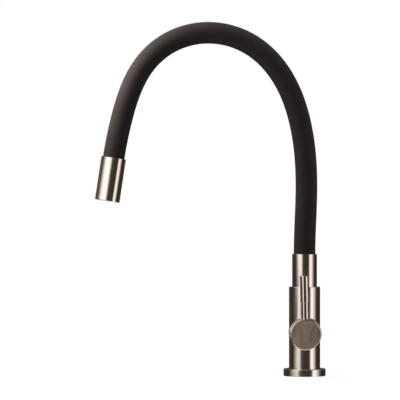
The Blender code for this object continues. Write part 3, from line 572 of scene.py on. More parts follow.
# ---- Stem and knob ----
# A brass stem comes out of the cartridge. The round knob on it is turned from solid steel: its
# side is brushed round, its bare face is brushed straight up, and its back is cut away to tilt.
HUB_RADIUS = 18.1 * MM
HUB_BACK = 48.55 * MM
HUB_FRONT = 67.05 * MM
HUB_BACK_FILLET = 0.5 * MM
HUB_FILLET = 1.3 * MM
HUB_CAVITY_RADIUS = 16 * MM
HUB_OPEN_BACK = 48.05 * MM
FLOW_ANGLE = math.radians(22)
SHANK_HALF = 2.8 * MM
SHANK_END = 63.05 * MM
ROD_OUT = 57.8 * MM
ROD_RADIUS = 4.4 * MM
ROD_DEPTH = 8 * MM
HUB_SCREW_OUT = 60.3 * MM
BALL_SIDES = 64
LEVER_DULLNESS = 0.1
# The face's browner colour is painted light: it stands in for the extra light that the face reflects
FACE_PAINTED_LIGHT_COLOUR = (0.57, 0.44, 0.34)
FACE_VARIATION = 0.6
FACE_STROKES = ((4200, 90, 90), 3.0, 0.65)
FACE_CLOUDS = ((110, 50, 50), 2.0)
FACING = 0.99
FACE_DEPTH = 0.05 * MM


def straight_brushed_steel(name, own_frame):
    """Steel brushed in straight strokes up and down a flat face, duller than the turned sides; its
    browner colour is painted light.
    """
    material, shader, where = new_material(name, FACE_PAINTED_LIGHT_COLOUR, 1.0, 0.45)
    own = in_place(where, own_frame)
    brushed(
        shader,
        FACE_PAINTED_LIGHT_COLOUR,
        FACE_VARIATION,
        dullness=0.29,
        layers=[grain(own, *FACE_STROKES), grain(own, *FACE_CLOUDS)],
        tones=(0.2, 0.8),
        glosses=(0.12, 0.26),
        reliefs=(1.0, 0.5),
        relief=(0.16, 0.02 * MM),
    )
    return material


def block(name, low, high, own_frame):
    """A square-edged cutter between two corners of a frame."""
    form = bmesh.new()
    bmesh.ops.create_cube(form, size=1)
    for vertex in form.verts:
        share = vertex.co + Vector((0.5, 0.5, 0.5))
        vertex.co = [a + (b - a) * s for a, b, s in zip(low, high, share)]
    return formed(name, form, own_frame)


def ball(name, radius, own_frame):
    """A ball-shaped cutter about the frame's origin."""
    form = bmesh.new()
    bmesh.ops.create_uvsphere(
        form, u_segments=BALL_SIDES, v_segments=BALL_SIDES // 2, radius=radius
    )
    return formed(name, form, own_frame)


finished("lever_spindle", brass)
lever_steel = lathe_brushed_steel("knob_brushed_steel", LEVER_FRAME, LEVER_DULLNESS)
face_steel = straight_brushed_steel("knob_face_steel", LEVER_FRAME)
hub_outline = [
    (0, HUB_BACK),
    (HUB_RADIUS, HUB_BACK, HUB_BACK_FILLET),
    (HUB_RADIUS, HUB_FRONT, HUB_FILLET),
    (0, HUB_FRONT),
]
hub = turned("lever_hub_piece", hub_outline, LEVER_FRAME, lever_steel)
pivot_frame = LEVER_FRAME @ Matrix.Translation((0, 0, PIVOT_OUT))
wedge_frame = pivot_frame @ Matrix.Rotation(-FLOW_ANGLE, 4, "X")
up = Matrix.Rotation(-math.pi / 2, 4, "X")
down = Matrix.Rotation(math.pi / 2, 4, "X")
rod_frame = LEVER_FRAME @ Matrix.Translation((0, 0, ROD_OUT)) @ up
hub_screw_frame = LEVER_FRAME @ Matrix.Translation((0, 0, HUB_SCREW_OUT)) @ down
wide = 2 * HUB_RADIUS
wedge_top = (wide, wide, HUB_OPEN_BACK - PIVOT_OUT)
shank_low = (-SHANK_HALF, -SHANK_HALF, PIVOT_OUT)
shank_high = (SHANK_HALF, SHANK_HALF, SHANK_END)
hub_outside = HUB_RADIUS + OVERRUN
rod_low = HUB_RADIUS - ROD_DEPTH
carved(
    hub,
    block("wedge", (-wide, -wide, -wide), wedge_top, wedge_frame),
    ball("cavity", HUB_CAVITY_RADIUS, pivot_frame),
    block("shank_hole", shank_low, shank_high, LEVER_FRAME),
    drill("rod_hole", ROD_RADIUS + FIT, rod_low, hub_outside, rod_frame),
    drill("hub_screw_hole", SCREW_RADIUS + FIT, 0, hub_outside, hub_screw_frame),
)
hub.data.materials.append(face_steel)
out_way = LEVER_FRAME.to_3x3() @ Vector((0, 0, 1))
for face in hub.data.polygons:
    ahead = (face.center - LEVER_FRAME.to_translation()).dot(out_way)
    if face.normal.dot(out_way) > FACING and ahead > HUB_FRONT - FACE_DEPTH:
        face.material_index = 1
fitted(hub, "lever")

# ---- Pin lever ----
# A steel rod screwed into the knob's top, with a slightly thicker grip screwed onto its tenon.
# Both are brushed round, and a fine seam shows where they meet.
ROD_HEIGHT = 18.8 * MM
TENON_RADIUS = 2.5 * MM
TENON_HEIGHT = 9 * MM
GRIP_RADIUS = 5.05 * MM
GRIP_LENGTH = 30.8 * MM
GRIP_FILLET = 0.6 * MM
SOFT_EDGE = 0.3 * MM

rod_steel = lathe_brushed_steel("lever_brushed_steel", rod_frame, LEVER_DULLNESS)
rod_top = HUB_RADIUS + ROD_HEIGHT
tenon_top = rod_top + TENON_HEIGHT
rod_points = [
    (0, rod_low + FIT),
    (ROD_RADIUS, rod_low + FIT, SOFT_EDGE),
    (ROD_RADIUS, rod_top, EASED_EDGE),
    (TENON_RADIUS, rod_top),
    (TENON_RADIUS, tenon_top, FULL_EDGE),
    (0, tenon_top),
]
machined("lever_rod", rod_points, rod_frame, rod_steel, "lever")
grip_low = rod_top + FIT
grip_top = grip_low + GRIP_LENGTH
grip_points = [
    (TENON_RADIUS + FIT, grip_low),
    (GRIP_RADIUS, grip_low, SOFT_EDGE),
    (GRIP_RADIUS, grip_top, GRIP_FILLET),
    (0, grip_top),
    (0, tenon_top + FIT),
    (TENON_RADIUS + FIT, tenon_top + FIT),
]
machined("lever_grip", grip_points, rod_frame, rod_steel, "lever")

# ---- Knob's set screw and its cap ----
# A headless stainless screw is turned in from below with a key and presses on the stem's flat. A
# moulded plastic cap is pushed in after it and closes the hole.
SCREW_TIP = 2.8 * MM
HUB_SCREW_LENGTH = 8 * MM
SUNK = 0.5 * MM
THREAD_PITCH = 0.7 * MM
THREAD_CREST = SCREW_RADIUS - 0.04 * MM
THREAD_ROOT = SCREW_RADIUS - 0.35 * MM
TIP_CONE = 0.4 * MM
END_CONE = 0.3 * MM
KEY_WIDTH = 2 * MM
KEY_DEPTH = 1.8 * MM
KEY_SIDES = 6
CAP_THICKNESS = 1.6 * MM


def set_screw(node, tip, end, own_frame, body):
    """A headless screw: coned tip, rounded thread crests, and a six-sided socket for a key."""
    outline = [(0, tip), (THREAD_ROOT - TIP_CONE, tip)]
    height = tip + THREAD_PITCH
    while height < end - THREAD_PITCH:
        outline += [(THREAD_ROOT, height - THREAD_PITCH / 2), (THREAD_CREST, height)]
        height += THREAD_PITCH
    outline += [(THREAD_ROOT, end - END_CONE), (THREAD_ROOT - END_CONE, end), (0, end)]
    made = turned(node + "_piece", outline, own_frame, stainless, steps=SMALL_STEPS)
    key = (made.name + "_key", KEY_WIDTH / 2, end - KEY_DEPTH, end + OVERRUN)
    carved(made, drill(*key, own_frame, KEY_SIDES))
    fitted(made, body)


screw_end = SCREW_TIP + HUB_SCREW_LENGTH
set_screw("hub_set_screw", SCREW_TIP, screw_end, hub_screw_frame, "lever")
cap_mouth = HUB_RADIUS - SUNK
cap_section = rod_outline(SCREW_RADIUS, cap_mouth - CAP_THICKNESS, cap_mouth, SOFT_EDGE)
machined(
    "hub_screw_cap", cap_section, hub_screw_frame, plastic, "lever", SMALL_STEPS
)

# ---- Swivel ----
# The spout turns on a flat washer and in a bush, both of plain bearing plastic. A set screw in the
# back of the body runs in a groove of the spout's plug and keeps it from lifting out.
WASHER_LOW = 86.4 * MM
WASHER_TOP = 88.4 * MM
PLUG_RADIUS = 6.9 * MM
BUSH_LOW = 93 * MM
BUSH_TOP = 103 * MM
BUSH_RADIUS = 16.6 * MM
SPOUT_SCREW_TIP = 5.7 * MM

washer_section = ring_outline(PLUG_RADIUS + FIT, CORE_RADIUS, WASHER_LOW, WASHER_TOP, FINE_EDGE)
machined("swivel_washer", washer_section, UPRIGHT, plastic, "root")
bush_section = ring_outline(COLLAR_HOLE, BUSH_RADIUS, BUSH_LOW, BUSH_TOP, EASED_EDGE)
machined("swivel_bush", bush_section, UPRIGHT, plastic, "root")
set_screw("spout_set_screw", SPOUT_SCREW_TIP, BODY_RADIUS - SUNK, SCREW_FRAME, "root")

# ---- Spout nipple ----
# A turned brass plug that swivels in the valve body on two rubber O-rings. Its wide head carries
# the collar, and its ribbed barb above holds the water tube.
NIPPLE_BORE = 3 * MM
PLUG_LOW = 66.5 * MM
CORE_TOP = 86.1 * MM
FOOT_LOW = 88.7 * MM
NIPPLE_HEAD_RADIUS = 12.9 * MM
NIPPLE_HEAD_TOP = 104.2 * MM
TINY_EDGE = 0.1 * MM
BARB_RADIUS = 4.5 * MM
BARB_LENGTH = 24 * MM
BARB_ROOT = BARB_RADIUS - 0.3 * MM
BARB_RIBS = 6
RIB_FOOT = BARB_RADIUS - 0.45 * MM
RIB_FILLET = 0.08 * MM
RIB_SPAN = (0.12, 0.98)
O_RING_HALF = 0.55 * MM
O_RING_FILLET = 0.99 * O_RING_HALF
O_RING_INSET = 2.6 * MM
SCREW_GROOVE = 5.4 * MM


def barb(base):
    """A nipple's outline above its head: sawtooth ribs that let a tube on but not off."""
    rib = BARB_LENGTH / BARB_RIBS
    points = [(BARB_ROOT, base)]
    for number in range(BARB_RIBS):
        crest, foot = (base + rib * (number + share) for share in RIB_SPAN)
        points += [(BARB_RADIUS, crest, RIB_FILLET), (RIB_FOOT, foot)]
    top = base + BARB_LENGTH
    return [*points, (RIB_FOOT, top, TINY_EDGE), (NIPPLE_BORE, top)]


ring_middle = PLUG_RADIUS - O_RING_HALF
ring_groove = ring_middle - O_RING_HALF - FIT
ring_heights = (PLUG_LOW + O_RING_INSET, CORE_TOP - O_RING_INSET)
nipple_outline = [(NIPPLE_BORE, PLUG_LOW), (PLUG_RADIUS, PLUG_LOW, SOFT_EDGE)]
for height, half, depth in (
    (ring_heights[0], O_RING_HALF + FIT, ring_groove),
    (SCREW_HEIGHT, SCREW_RADIUS + FIT, SCREW_GROOVE),
    (ring_heights[1], O_RING_HALF + FIT, ring_groove),
):
    nipple_outline += [
        (PLUG_RADIUS, height - half, TINY_EDGE),
        (depth, height - half),
        (depth, height + half),
        (PLUG_RADIUS, height + half, TINY_EDGE),
    ]
nipple_outline += [
    (PLUG_RADIUS, FOOT_LOW),
    (NIPPLE_HEAD_RADIUS, FOOT_LOW, SOFT_EDGE),
    (NIPPLE_HEAD_RADIUS, NIPPLE_HEAD_TOP, FULL_EDGE),
    *barb(NIPPLE_HEAD_TOP),
]
machined("spout_nipple", nipple_outline, UPRIGHT, brass, "spout")
for node, height in zip(("lower_o_ring", "upper_o_ring"), ring_heights):
    low, high = height - O_RING_HALF, height + O_RING_HALF
    section = ring_outline(ring_middle - O_RING_HALF, PLUG_RADIUS, low, high, O_RING_FILLET)
    machined(node, section, UPRIGHT, rubber, "spout")

# ---- Collar ----
# The steel tube round the foot of the hose. It turns with the spout in the body's top, rests on a
# wider foot inside, and its mouth has a rounded edge.
COLLAR_RADIUS = 14.75 * MM
COLLAR_BORE = 13.2 * MM
COLLAR_TOP = 144.4 * MM
FOOT_TOP = 92.7 * MM
MOUTH_FILLET = 0.7 * MM

collar_outline = [
    (COLLAR_BORE, FOOT_LOW),
    (BUSH_RADIUS, FOOT_LOW, FINE_EDGE),
    (BUSH_RADIUS, FOOT_TOP, FINE_EDGE),
    (COLLAR_RADIUS, FOOT_TOP),
    (COLLAR_RADIUS, COLLAR_TOP, MOUTH_FILLET),
    (COLLAR_BORE, COLLAR_TOP, SOFT_EDGE),
]
machined("spout_collar", collar_outline, UPRIGHT, upright_steel, "spout")

# ---- Hose ----
# From the outside in: a matt black silicone sleeve, a gooseneck of wound steel wire that holds the
# bend, and a plastic water tube. All three follow one line from the collar over to the head.
HOSE_RADIUS = 12.9 * MM
HOSE_LENGTH = 527.3 * MM
HEAD_LEAN = math.radians(8.6)
BEND_SHARES = (
    (0.00, -0.19),
    (0.15, 0.18),
    (0.30, 0.37),
    (0.50, 0.93),
    (0.76, 1.00),
    (0.90, 0.19),
    (1.00, 0.20),
)
LINE_STEPS = 336
SLEEVE_WALL = 2.9 * MM
SLEEVE_TUCK = 26 * MM
SLEEVE_STATIONS = 260
SLEEVE_SIDES = 72
WIRE_RADIUS = 1.2 * MM
WINDING_RADIUS = 8.4 * MM
WINDING_PITCH = 2.7 * MM
POINTS_A_TURN = 18
WIRE_SIDES = 6
LAYER_START = 104.5 * MM
LAYER_HEAD_TUCK = 29.7 * MM
TUBE_RADIUS = 6.4 * MM
TUBE_WALL = 1.6 * MM
TUBE_SIDES = 32


def read_off(table, place):
    """The value at this place, on straight lines between the entries of a table."""
    for (before, low), (after, high) in zip(table, table[1:]):
        if place <= after:
            return low + (high - low) * (place - before) / (after - before)
    return table[-1][1]


def hose_line():
    """The points of the exposed hose's middle, from collar to head, and the way that it ends."""
    bends = [read_off(BEND_SHARES, (step + 0.5) / LINE_STEPS) for step in range(LINE_STEPS)]
    point = Vector((0, 0, COLLAR_TOP))
    heading = math.pi / 2
    points = [point.copy()]
    for bend in bends:
        change = (math.pi - HEAD_LEAN) * bend / sum(bends)
        middle = heading - change / 2
        heading -= change
        point += HOSE_LENGTH / LINE_STEPS * Vector((-math.cos(middle), 0, math.sin(middle)))
        points.append(point.copy())
    return points, Vector((-math.cos(heading), 0, math.sin(heading)))


def bare(name, points, edges=()):
    """An object of bare points and edges, for a Geometry Nodes tree to start from."""
    mesh = bpy.data.meshes.new(name)
    mesh.from_pydata(points, edges, [])
    host = bpy.data.objects.new(name, mesh)
    bpy.context.scene.collection.objects.link(host)
    return host


def route(start_tuck, end_tuck):
    """One open line along the hose, this far into the collar and into the head."""
    points, last_way = hose_line()
    points = [points[0] - Vector((0, 0, start_tuck)), *points, points[-1] + last_way * end_tuck]
    return bare("route", points, [(index, index + 1) for index in range(len(points) - 1)])


def grown(name, host, sizes, shape, material):
    """Runs a Geometry Nodes tree on a host, with named inputs, and keeps the mesh it makes."""
    tree = bpy.data.node_groups.new(name, "GeometryNodeTree")
    for way in ("INPUT", "OUTPUT"):
        tree.interface.new_socket("Geometry", in_out=way, socket_type="NodeSocketGeometry")
    named = {}
    for label, size in sizes.items():
        kind = "NodeSocketInt" if isinstance(size, int) else "NodeSocketFloat"
        named[label] = tree.interface.new_socket(label, in_out="INPUT", socket_type=kind)
    entry = tree.nodes.new("NodeGroupInput")
    leave = tree.nodes.new("NodeGroupOutput")
    given = {output.name: Socket(tree, output) for output in entry.outputs if output.name}
    made = shape(**given)
    made = made.node("GeometryNodeRealizeInstances", {0: made})
    made = made.node("GeometryNodeSetMaterial", {"Geometry": made, "Material": material})
    tree.links.new(made.output, leave.inputs[0])
    modifier = host.modifiers.new(name, "NODES")
    modifier.node_group = tree
    for label, size in sizes.items():
        modifier[named[label].identifier] = size
    graph = bpy.context.evaluated_depsgraph_get()
    mesh = bpy.data.meshes.new_from_object(host.evaluated_get(graph))
    bpy.data.objects.remove(host)
    return shown(name, mesh)


def swept(Geometry, Radius, Stations, Sides):
    """A round skin along the line."""
    line = Geometry.node("GeometryNodeMeshToCurve", {0: Geometry})
    line = line.node("GeometryNodeResampleCurve", {"Curve": line, "Count": Stations})
    ring = line.node("GeometryNodeCurvePrimitiveCircle", {"Radius": Radius, "Resolution": Sides})
    return line.node("GeometryNodeCurveToMesh", {"Curve": line, "Profile Curve": ring})


def wound(Geometry, Turns, Points, Winding, Wire, Sides):
    """A round wire wound in a screw about the line."""
    line = Geometry.node("GeometryNodeMeshToCurve", {0: Geometry})
    line = line.node("GeometryNodeResampleCurve", {"Curve": line, "Count": Points})
    way = line.node("GeometryNodeInputTangent", {})
    side = line.node("ShaderNodeVectorMath", {0: way, 1: (0, 1, 0)}, operation="CROSS_PRODUCT")
    share = line.node("GeometryNodeSplineParameter", {})
    angle = share * Turns * math.tau
    across = angle.maths("COSINE", angle) * Winding
    swing = side.node("ShaderNodeVectorMath", {0: side, "Scale": across}, operation="SCALE")
    rise = angle.node("ShaderNodeCombineXYZ", {1: angle.maths("SINE", angle) * Winding})
    shift = angle.node("ShaderNodeVectorMath", {0: swing, 1: rise}, operation="ADD")
    coil = line.node("GeometryNodeSetPosition", {"Geometry": line, "Offset": shift})
    ring = line.node("GeometryNodeCurvePrimitiveCircle", {"Radius": Wire, "Resolution": Sides})
    feeds = {"Curve": coil, "Profile Curve": ring, "Fill Caps": True}
    return coil.node("GeometryNodeCurveToMesh", feeds)


def walled(made, wall):
    """Gives a skin its wall, inwards."""
    form = bmesh.new()
    form.from_mesh(made.data)
    bmesh.ops.recalc_face_normals(form, faces=form.faces)
    form.to_mesh(made.data)
    form.free()
    modifier = made.modifiers.new("wall", "SOLIDIFY")
    modifier.thickness = wall
    modifier.offset = -1
    modifier.use_even_offset = True
    carved(made)


# Matt extruded silicone: near black and slightly warm, with a dusty bloom and a fine skin
silicone = patchy(
    "black_silicone_finish",
    colour=(0.058, 0.047, 0.043),
    tints=((0.066, 0.053, 0.049), (0.050, 0.040, 0.037)),
    patches=(38.0, 4.0, 0.6),
    gloss=(0.6, 0.12, 0.06),
    skin=(2200.0, 2.0, 0.6),
    relief=(0.22, 0.03 * MM),
    Specular_IOR_Level=0.12,
)
sleeve = grown(
    "hose_sleeve_piece",
    route(SLEEVE_TUCK, SLEEVE_TUCK),
    {"Radius": HOSE_RADIUS, "Stations": SLEEVE_STATIONS, "Sides": SLEEVE_SIDES},
    swept,
    silicone,
)
walled(sleeve, SLEEVE_WALL)
layer_tuck = COLLAR_TOP - LAYER_START
layer_length = HOSE_LENGTH + layer_tuck + LAYER_HEAD_TUCK
winding_turns = round(layer_length / WINDING_PITCH)
gooseneck = grown(
    "hose_gooseneck_piece",
    route(layer_tuck, LAYER_HEAD_TUCK),
    {
        "Turns": winding_turns,
        "Points": winding_turns * POINTS_A_TURN,
        "Winding": WINDING_RADIUS,
        "Wire": WIRE_RADIUS,
        "Sides": WIRE_SIDES,
    },
    wound,
    stainless,
)
water_tube = grown(
    "water_tube_piece",
    route(layer_tuck, LAYER_HEAD_TUCK),
    {"Radius": TUBE_RADIUS, "Stations": SLEEVE_STATIONS, "Sides": TUBE_SIDES},
    swept,
    plastic,
)
walled(water_tube, TUBE_WALL)
for layer, slot in (
    (sleeve, "black_silicone"),
    (gooseneck, "stainless_wire"),
    (water_tube, "white_plastic"),
):
    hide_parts(layer.name.removesuffix("_piece"))
    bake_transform(layer)

# ---- Tube clamps ----
# Two stainless ferrules that hold the water tube on its barbs. Each is cut from tube, slipped over
# the end and crimped in three rings.
CLAMP_BORE = 6.7 * MM
CLAMP_RADIUS = 7.5 * MM
CLAMP_LENGTH = 12 * MM
CLAMP_INSET = 6 * MM
CLAMP_STEPS = ROUND_STEPS // 2
CRIMPS = 3
CRIMP_DEPTH = 0.35 * MM
CRIMP_PROFILE = ((-1.1 * MM, 0), (-0.6 * MM, 1), (0.6 * MM, 1), (1.1 * MM, 0))


def ferrule(node, low, own_frame, body):
    """A thin tube with rings pressed in at even steps."""
    outline = [(CLAMP_BORE, low), (CLAMP_RADIUS, low, FINE_EDGE)]
    for number in range(CRIMPS):
        middle = low + CLAMP_LENGTH * (number + 0.5) / CRIMPS
        for along, pressed in CRIMP_PROFILE:
            outline.append((CLAMP_RADIUS - CRIMP_DEPTH * pressed, middle + along, SOFT_EDGE))
    high = low + CLAMP_LENGTH
    outline += [(CLAMP_RADIUS, high, FINE_EDGE), (CLAMP_BORE, high)]
    machined(node, outline, own_frame, stainless, body, CLAMP_STEPS)


ferrule("spout_tube_clamp", NIPPLE_HEAD_TOP + CLAMP_INSET, UPRIGHT, "spout")

# ---- Outlet head ----
# A steel sleeve over the hose's end, brushed round its leaning axis, with both mouths rounded. A
# brass nipple inside takes the water tube, and a ledge inside takes the aerator.
HEAD_LENGTH = 52 * MM
HEAD_RADIUS = 14.75 * MM
HEAD_BORE = 13.2 * MM
LEDGE_RADIUS = 11.9 * MM
LEDGE_DOWN = 40 * MM
PLUG_TOP = 30 * MM
PLUG_UNDER = 39.7 * MM
HEAD_FRAME = Matrix.Translation(hose_line()[0][-1]) @ Matrix.Rotation(HEAD_LEAN, 4, "Y")

head_steel = lathe_brushed_steel("head_brushed_steel", HEAD_FRAME)
head_outline = [
    (HEAD_BORE, 0, SOFT_EDGE),
    (HEAD_RADIUS, 0, MOUTH_FILLET),
    (HEAD_RADIUS, -HEAD_LENGTH, MOUTH_FILLET),
    (LEDGE_RADIUS, -HEAD_LENGTH, SOFT_EDGE),
    (LEDGE_RADIUS, -LEDGE_DOWN),
    (HEAD_BORE, -LEDGE_DOWN),
]
machined("outlet_head", head_outline, HEAD_FRAME, head_steel, "outlet")
outlet_nipple_outline = [
    (NIPPLE_BORE, -PLUG_UNDER),
    (HEAD_BORE - FIT, -PLUG_UNDER, SOFT_EDGE),
    (HEAD_BORE - FIT, -PLUG_TOP, FULL_EDGE),
    *barb(-PLUG_TOP),
]
machined("outlet_nipple", outlet_nipple_outline, HEAD_FRAME, brass, "outlet")
ferrule("outlet_tube_clamp", CLAMP_INSET - PLUG_TOP, HEAD_FRAME, "outlet")

# ---- Aerator ----
# A rubber seal, a thin steel ring screwed into the head's mouth, and the white plastic insert in
# it: rings and fins that break the water up, which show from below.
AERATOR_RADIUS = 11.6 * MM
AERATOR_BORE = 9.6 * MM
AERATOR_TOP = 41.4 * MM
AERATOR_LOW = 51.4 * MM
AERATOR_LIP = 0.8 * MM
INSERT_RADIUS = 9.3 * MM
INSERT_HEIGHT = 6.5 * MM
FIN_COUNT = 24
FIN_THICKNESS = 0.45 * MM
GRILLE_RINGS = 4
GRILLE_SIDES = 64

finished("aerator_seal", rubber)
lip_bore = AERATOR_BORE - AERATOR_LIP
lip_top = AERATOR_LIP - AERATOR_LOW
housing_outline = [
    (AERATOR_BORE, -AERATOR_TOP),
    (AERATOR_RADIUS, -AERATOR_TOP, FINE_EDGE),
    (AERATOR_RADIUS, -AERATOR_LOW, SOFT_EDGE),
    (lip_bore, -AERATOR_LOW, FINE_EDGE),
    (lip_bore, lip_top),
    (AERATOR_BORE, lip_top),
]
machined("aerator_housing", housing_outline, HEAD_FRAME, head_steel, "outlet")


def copies(count, thing, **placing):
    """This many instances of a thing on points, each placed by its number."""
    line = count.node("GeometryNodeMeshLine", {"Count": count, "Offset": (0, 0, 0)})
    spots = count.node("GeometryNodeMeshToPoints", {0: line})
    feeds = {"Points": spots, "Instance": thing, **placing}
    return count.node("GeometryNodeInstanceOnPoints", feeds)


def grille(Geometry, Radius, Height, Fin, Fins, Rings, Sides):
    """Upright rings at even steps, crossed by fins that stand round the middle."""
    index = Radius.node("GeometryNodeInputIndex", {})
    size = (index + 1.0) * (Radius / Rings) - Fin * 0.5
    scale = size.node("ShaderNodeCombineXYZ", {0: size, 1: size, 2: 1.0})
    ring = Radius.node("GeometryNodeCurvePrimitiveCircle", {"Radius": 1.0, "Resolution": Sides})
    rings = copies(Rings, ring, Scale=scale)
    rings = Radius.node("GeometryNodeRealizeInstances", {0: rings})
    profile = {"Width": Fin, "Height": Height}
    section = Radius.node("GeometryNodeCurvePrimitiveQuadrilateral", profile)
    walls = rings.node("GeometryNodeCurveToMesh", {"Curve": rings, "Profile Curve": section})
    fin_size = Radius.node("ShaderNodeCombineXYZ", {0: Radius - Fin * 0.5, 1: Fin, 2: Height})
    fin = fin_size.node("GeometryNodeMeshCube", {"Size": fin_size})
    outwards = Radius.node("ShaderNodeCombineXYZ", {0: Radius * 0.5})
    fin = fin.node("GeometryNodeSetPosition", {"Geometry": fin, "Offset": outwards})
    turn = index * math.tau / Fins
    fins = copies(Fins, fin, Rotation=turn.node("ShaderNodeCombineXYZ", {2: turn}))
    both = walls.node("GeometryNodeJoinGeometry", {})
    for shape in (walls, fins):
        both.tree.links.new(shape.output, both.output.node.inputs[0])
    return both


insert = grown(
    "aerator_insert_piece",
    bare("aerator_point", [(0, 0, 0)]),
    {
        "Radius": INSERT_RADIUS,
        "Height": INSERT_HEIGHT,
        "Fin": FIN_THICKNESS,
        "Fins": FIN_COUNT,
        "Rings": GRILLE_RINGS,
        "Sides": GRILLE_SIDES,
    },
    grille,
    plastic,
)
insert_middle = lip_top + FIT + INSERT_HEIGHT / 2
insert.data.transform(HEAD_FRAME @ Matrix.Translation((0, 0, insert_middle)))
fitted(insert, "outlet")

# ---- Studio ----
# White paper floor and surround, soft light from above on the left, and a lamp on each side of
# the hose. Metal sees none of them: it mirrors a closed tent round the tap, which is no lamp but
# glows in painted tones, a dim warm glow with one bright band on the left and one on the right.
FLOOR_SIZE = 30
FLOOR_GLOW = 0.95
FLOOR_PAPER = 0.07
SURROUND_GLOW = 0.94
SURROUND_LIGHT = 0.06
TENT_RADIUS = 0.8
TENT_HALF = 180
TENT_STEP = 2
TENT_LOW = (-0.6, -0.075, -0.06, -0.045, -0.03, 0, 0.01, 0.02, 0.03, 0.04)
TENT_HIGH = (0.06, 0.08, 0.085, 0.09, 0.1, 0.15, 0.2, 0.25, 0.9)
TENT_HEIGHTS = TENT_LOW + TENT_HIGH
TENT_ROOF = ((0.7, 1.15), (0.45, 1.35), (0.2, 1.45), (0.01, 1.48))
# The roof's painted glow: dim, and brighter towards the left
ROOF_DARK = 0.1
ROOF_TONE = 1.1
ROOF_SPAN = (-10, -40)
# Where each piece of the tap mirrors itself on the tent: the heights where its part begins and
# is full. The edges of the painted bright bands, in degrees, shift from piece to piece.
FLANGE_SPAN = (-0.045, -0.075)
COLLAR_SPAN = (0, 0.11)
HEAD_SPAN = (0.14, 0.24)
# Painted bright bands, as start, full, fading and end azimuths: painted reflections for the metal
LEFT_GLOW_BAND = (-95, -58, -43, -25)
LEFT_OUTER_SHIFTS = (40, 8, -13)
LEFT_INNER_SHIFTS = (0, 11, -7)
LEFT_LOW = 1.25
LEFT_RISE = 0.45
LEFT_RISE_SPAN = (0, 0.25)
RIGHT_GLOW_BAND = (34, 50, 50, 99)
RIGHT_SHIFTS = (0, 2, 6)
RIGHT_TONE = 1.7
# A painted dark patch in the left glow band, a painted reflection of a black flag, keeps the left of
# the body dark
DARK_PATCH_EDGE = -45
DARK_PATCH_LEAN = -8
DARK_PATCH_LEAN_SPAN = (0.055, 0.03)
DARK_PATCH_SOFTNESS = 7
DARK_PATCH_LOW_SPAN = (-0.008, 0.012)
DARK_PATCH_HIGH_SPAN = (0.09, 0.083)
DARK_PATCH_SHADE = 0.95
# Painted glow added round the sides at the head's heights, for the head's reflections
EDGE_TONE = 0.09
EDGE_SPAN = (60, 100)
# The dim painted glow round the tent, by azimuth: painted dark reflections for the metal
DIM_GLOW_LEVELS = (
    (-180, 0.14),
    (-162, 0.1),
    (-104, 0.05),
    (-28, 0.16),
    (-6, 0.07),
    (26, 0.06),
    (130, 0.04),
    (162, 0.09),
    (180, 0.12),
)
# Tints of the tent's painted glow: warm where it is dim, cool where it is bright
DIM_GLOW_TINT = (1.0, 0.80, 0.66)
BRIGHT_GLOW_TINT = (0.98, 1.0, 1.03)
BRIGHT_GLOW_FROM = 1.3
SKY_WAY = (0.42, 0, -0.91)
SKY_POWER = 3.1
SKY_SPREAD = math.radians(30)
HOSE_MIDDLE = (-0.11, 0, 0.3)
LAMPS = (
    ("left_lamp", (-0.33, -0.045, 0.42), 0.12, 0.44),
    ("right_lamp", (0.6, 0, 0.3), 0.4, 0.9),
)
CAMERA_PLACE = (-0.0706, -3.0957, 0.2084)
CAMERA_TURN = math.radians(0.989)
CAMERA_CLIP = 100
LENS = 234.7


def is_seen(tree):
    """1 for what the camera, metal or glass sees, and 0 for the light on matt surfaces."""
    path = tree.nodes.new("ShaderNodeLightPath")
    seen = Socket(tree, path.outputs["Is Camera Ray"])
    for label in ("Is Glossy Ray", "Is Transmission Ray"):
        seen = seen.maths("MAXIMUM", seen, Socket(tree, path.outputs[label]))
    return seen


def white_floor():
    """Matt paper that shows as white, and still takes the tap's shadow."""
    material, shader, _ = new_material("floor_paper", (FLOOR_PAPER,) * 3, 0.0, 1.0)
    shader.inputs["Specular IOR Level"].default_value = 0
    shader.inputs["Emission Color"].default_value = (1, 1, 1, 1)
    drive(shader, Emission_Strength=is_seen(material.node_tree) * FLOOR_GLOW)
    return material


def tent_cloth():
    """The tent glows as its painted tone says: it is no lamp, and its glow is painted reflection for
    metal.
    """
    material, shader, where = new_material("tent_cloth", (0, 0, 0), 0.0, 1.0)
    shader.inputs["Specular IOR Level"].default_value = 0
    shader.inputs["Emission Strength"].default_value = 1
    tone = where.node("ShaderNodeAttribute", {}, 0, attribute_name="tone")
    drive(shader, Emission_Color=tone)
    return material


def around(azimuth, distance, height):
    """A place round the tap: 0 degrees is towards the camera, and 90 is to its right."""
    angle = math.radians(azimuth)
    return Vector((distance * math.sin(angle), -distance * math.cos(angle), height))


def eased(value, start, end):
    """0 up to the start and 1 from the end on, either way round, with soft ends."""
    share = min(max((value - start) / (end - start), 0), 1)
    return share * share * (3 - 2 * share)


def glow_share(azimuth, cloth, outer_shift, inner_shift):
    """How much a painted bright band glows here: 0 past its soft edges, and 1 in its middle."""
    start, full, fading, end = cloth
    share = eased(azimuth, start + outer_shift, full + outer_shift)
    return share * eased(azimuth, end + inner_shift, fading + inner_shift)


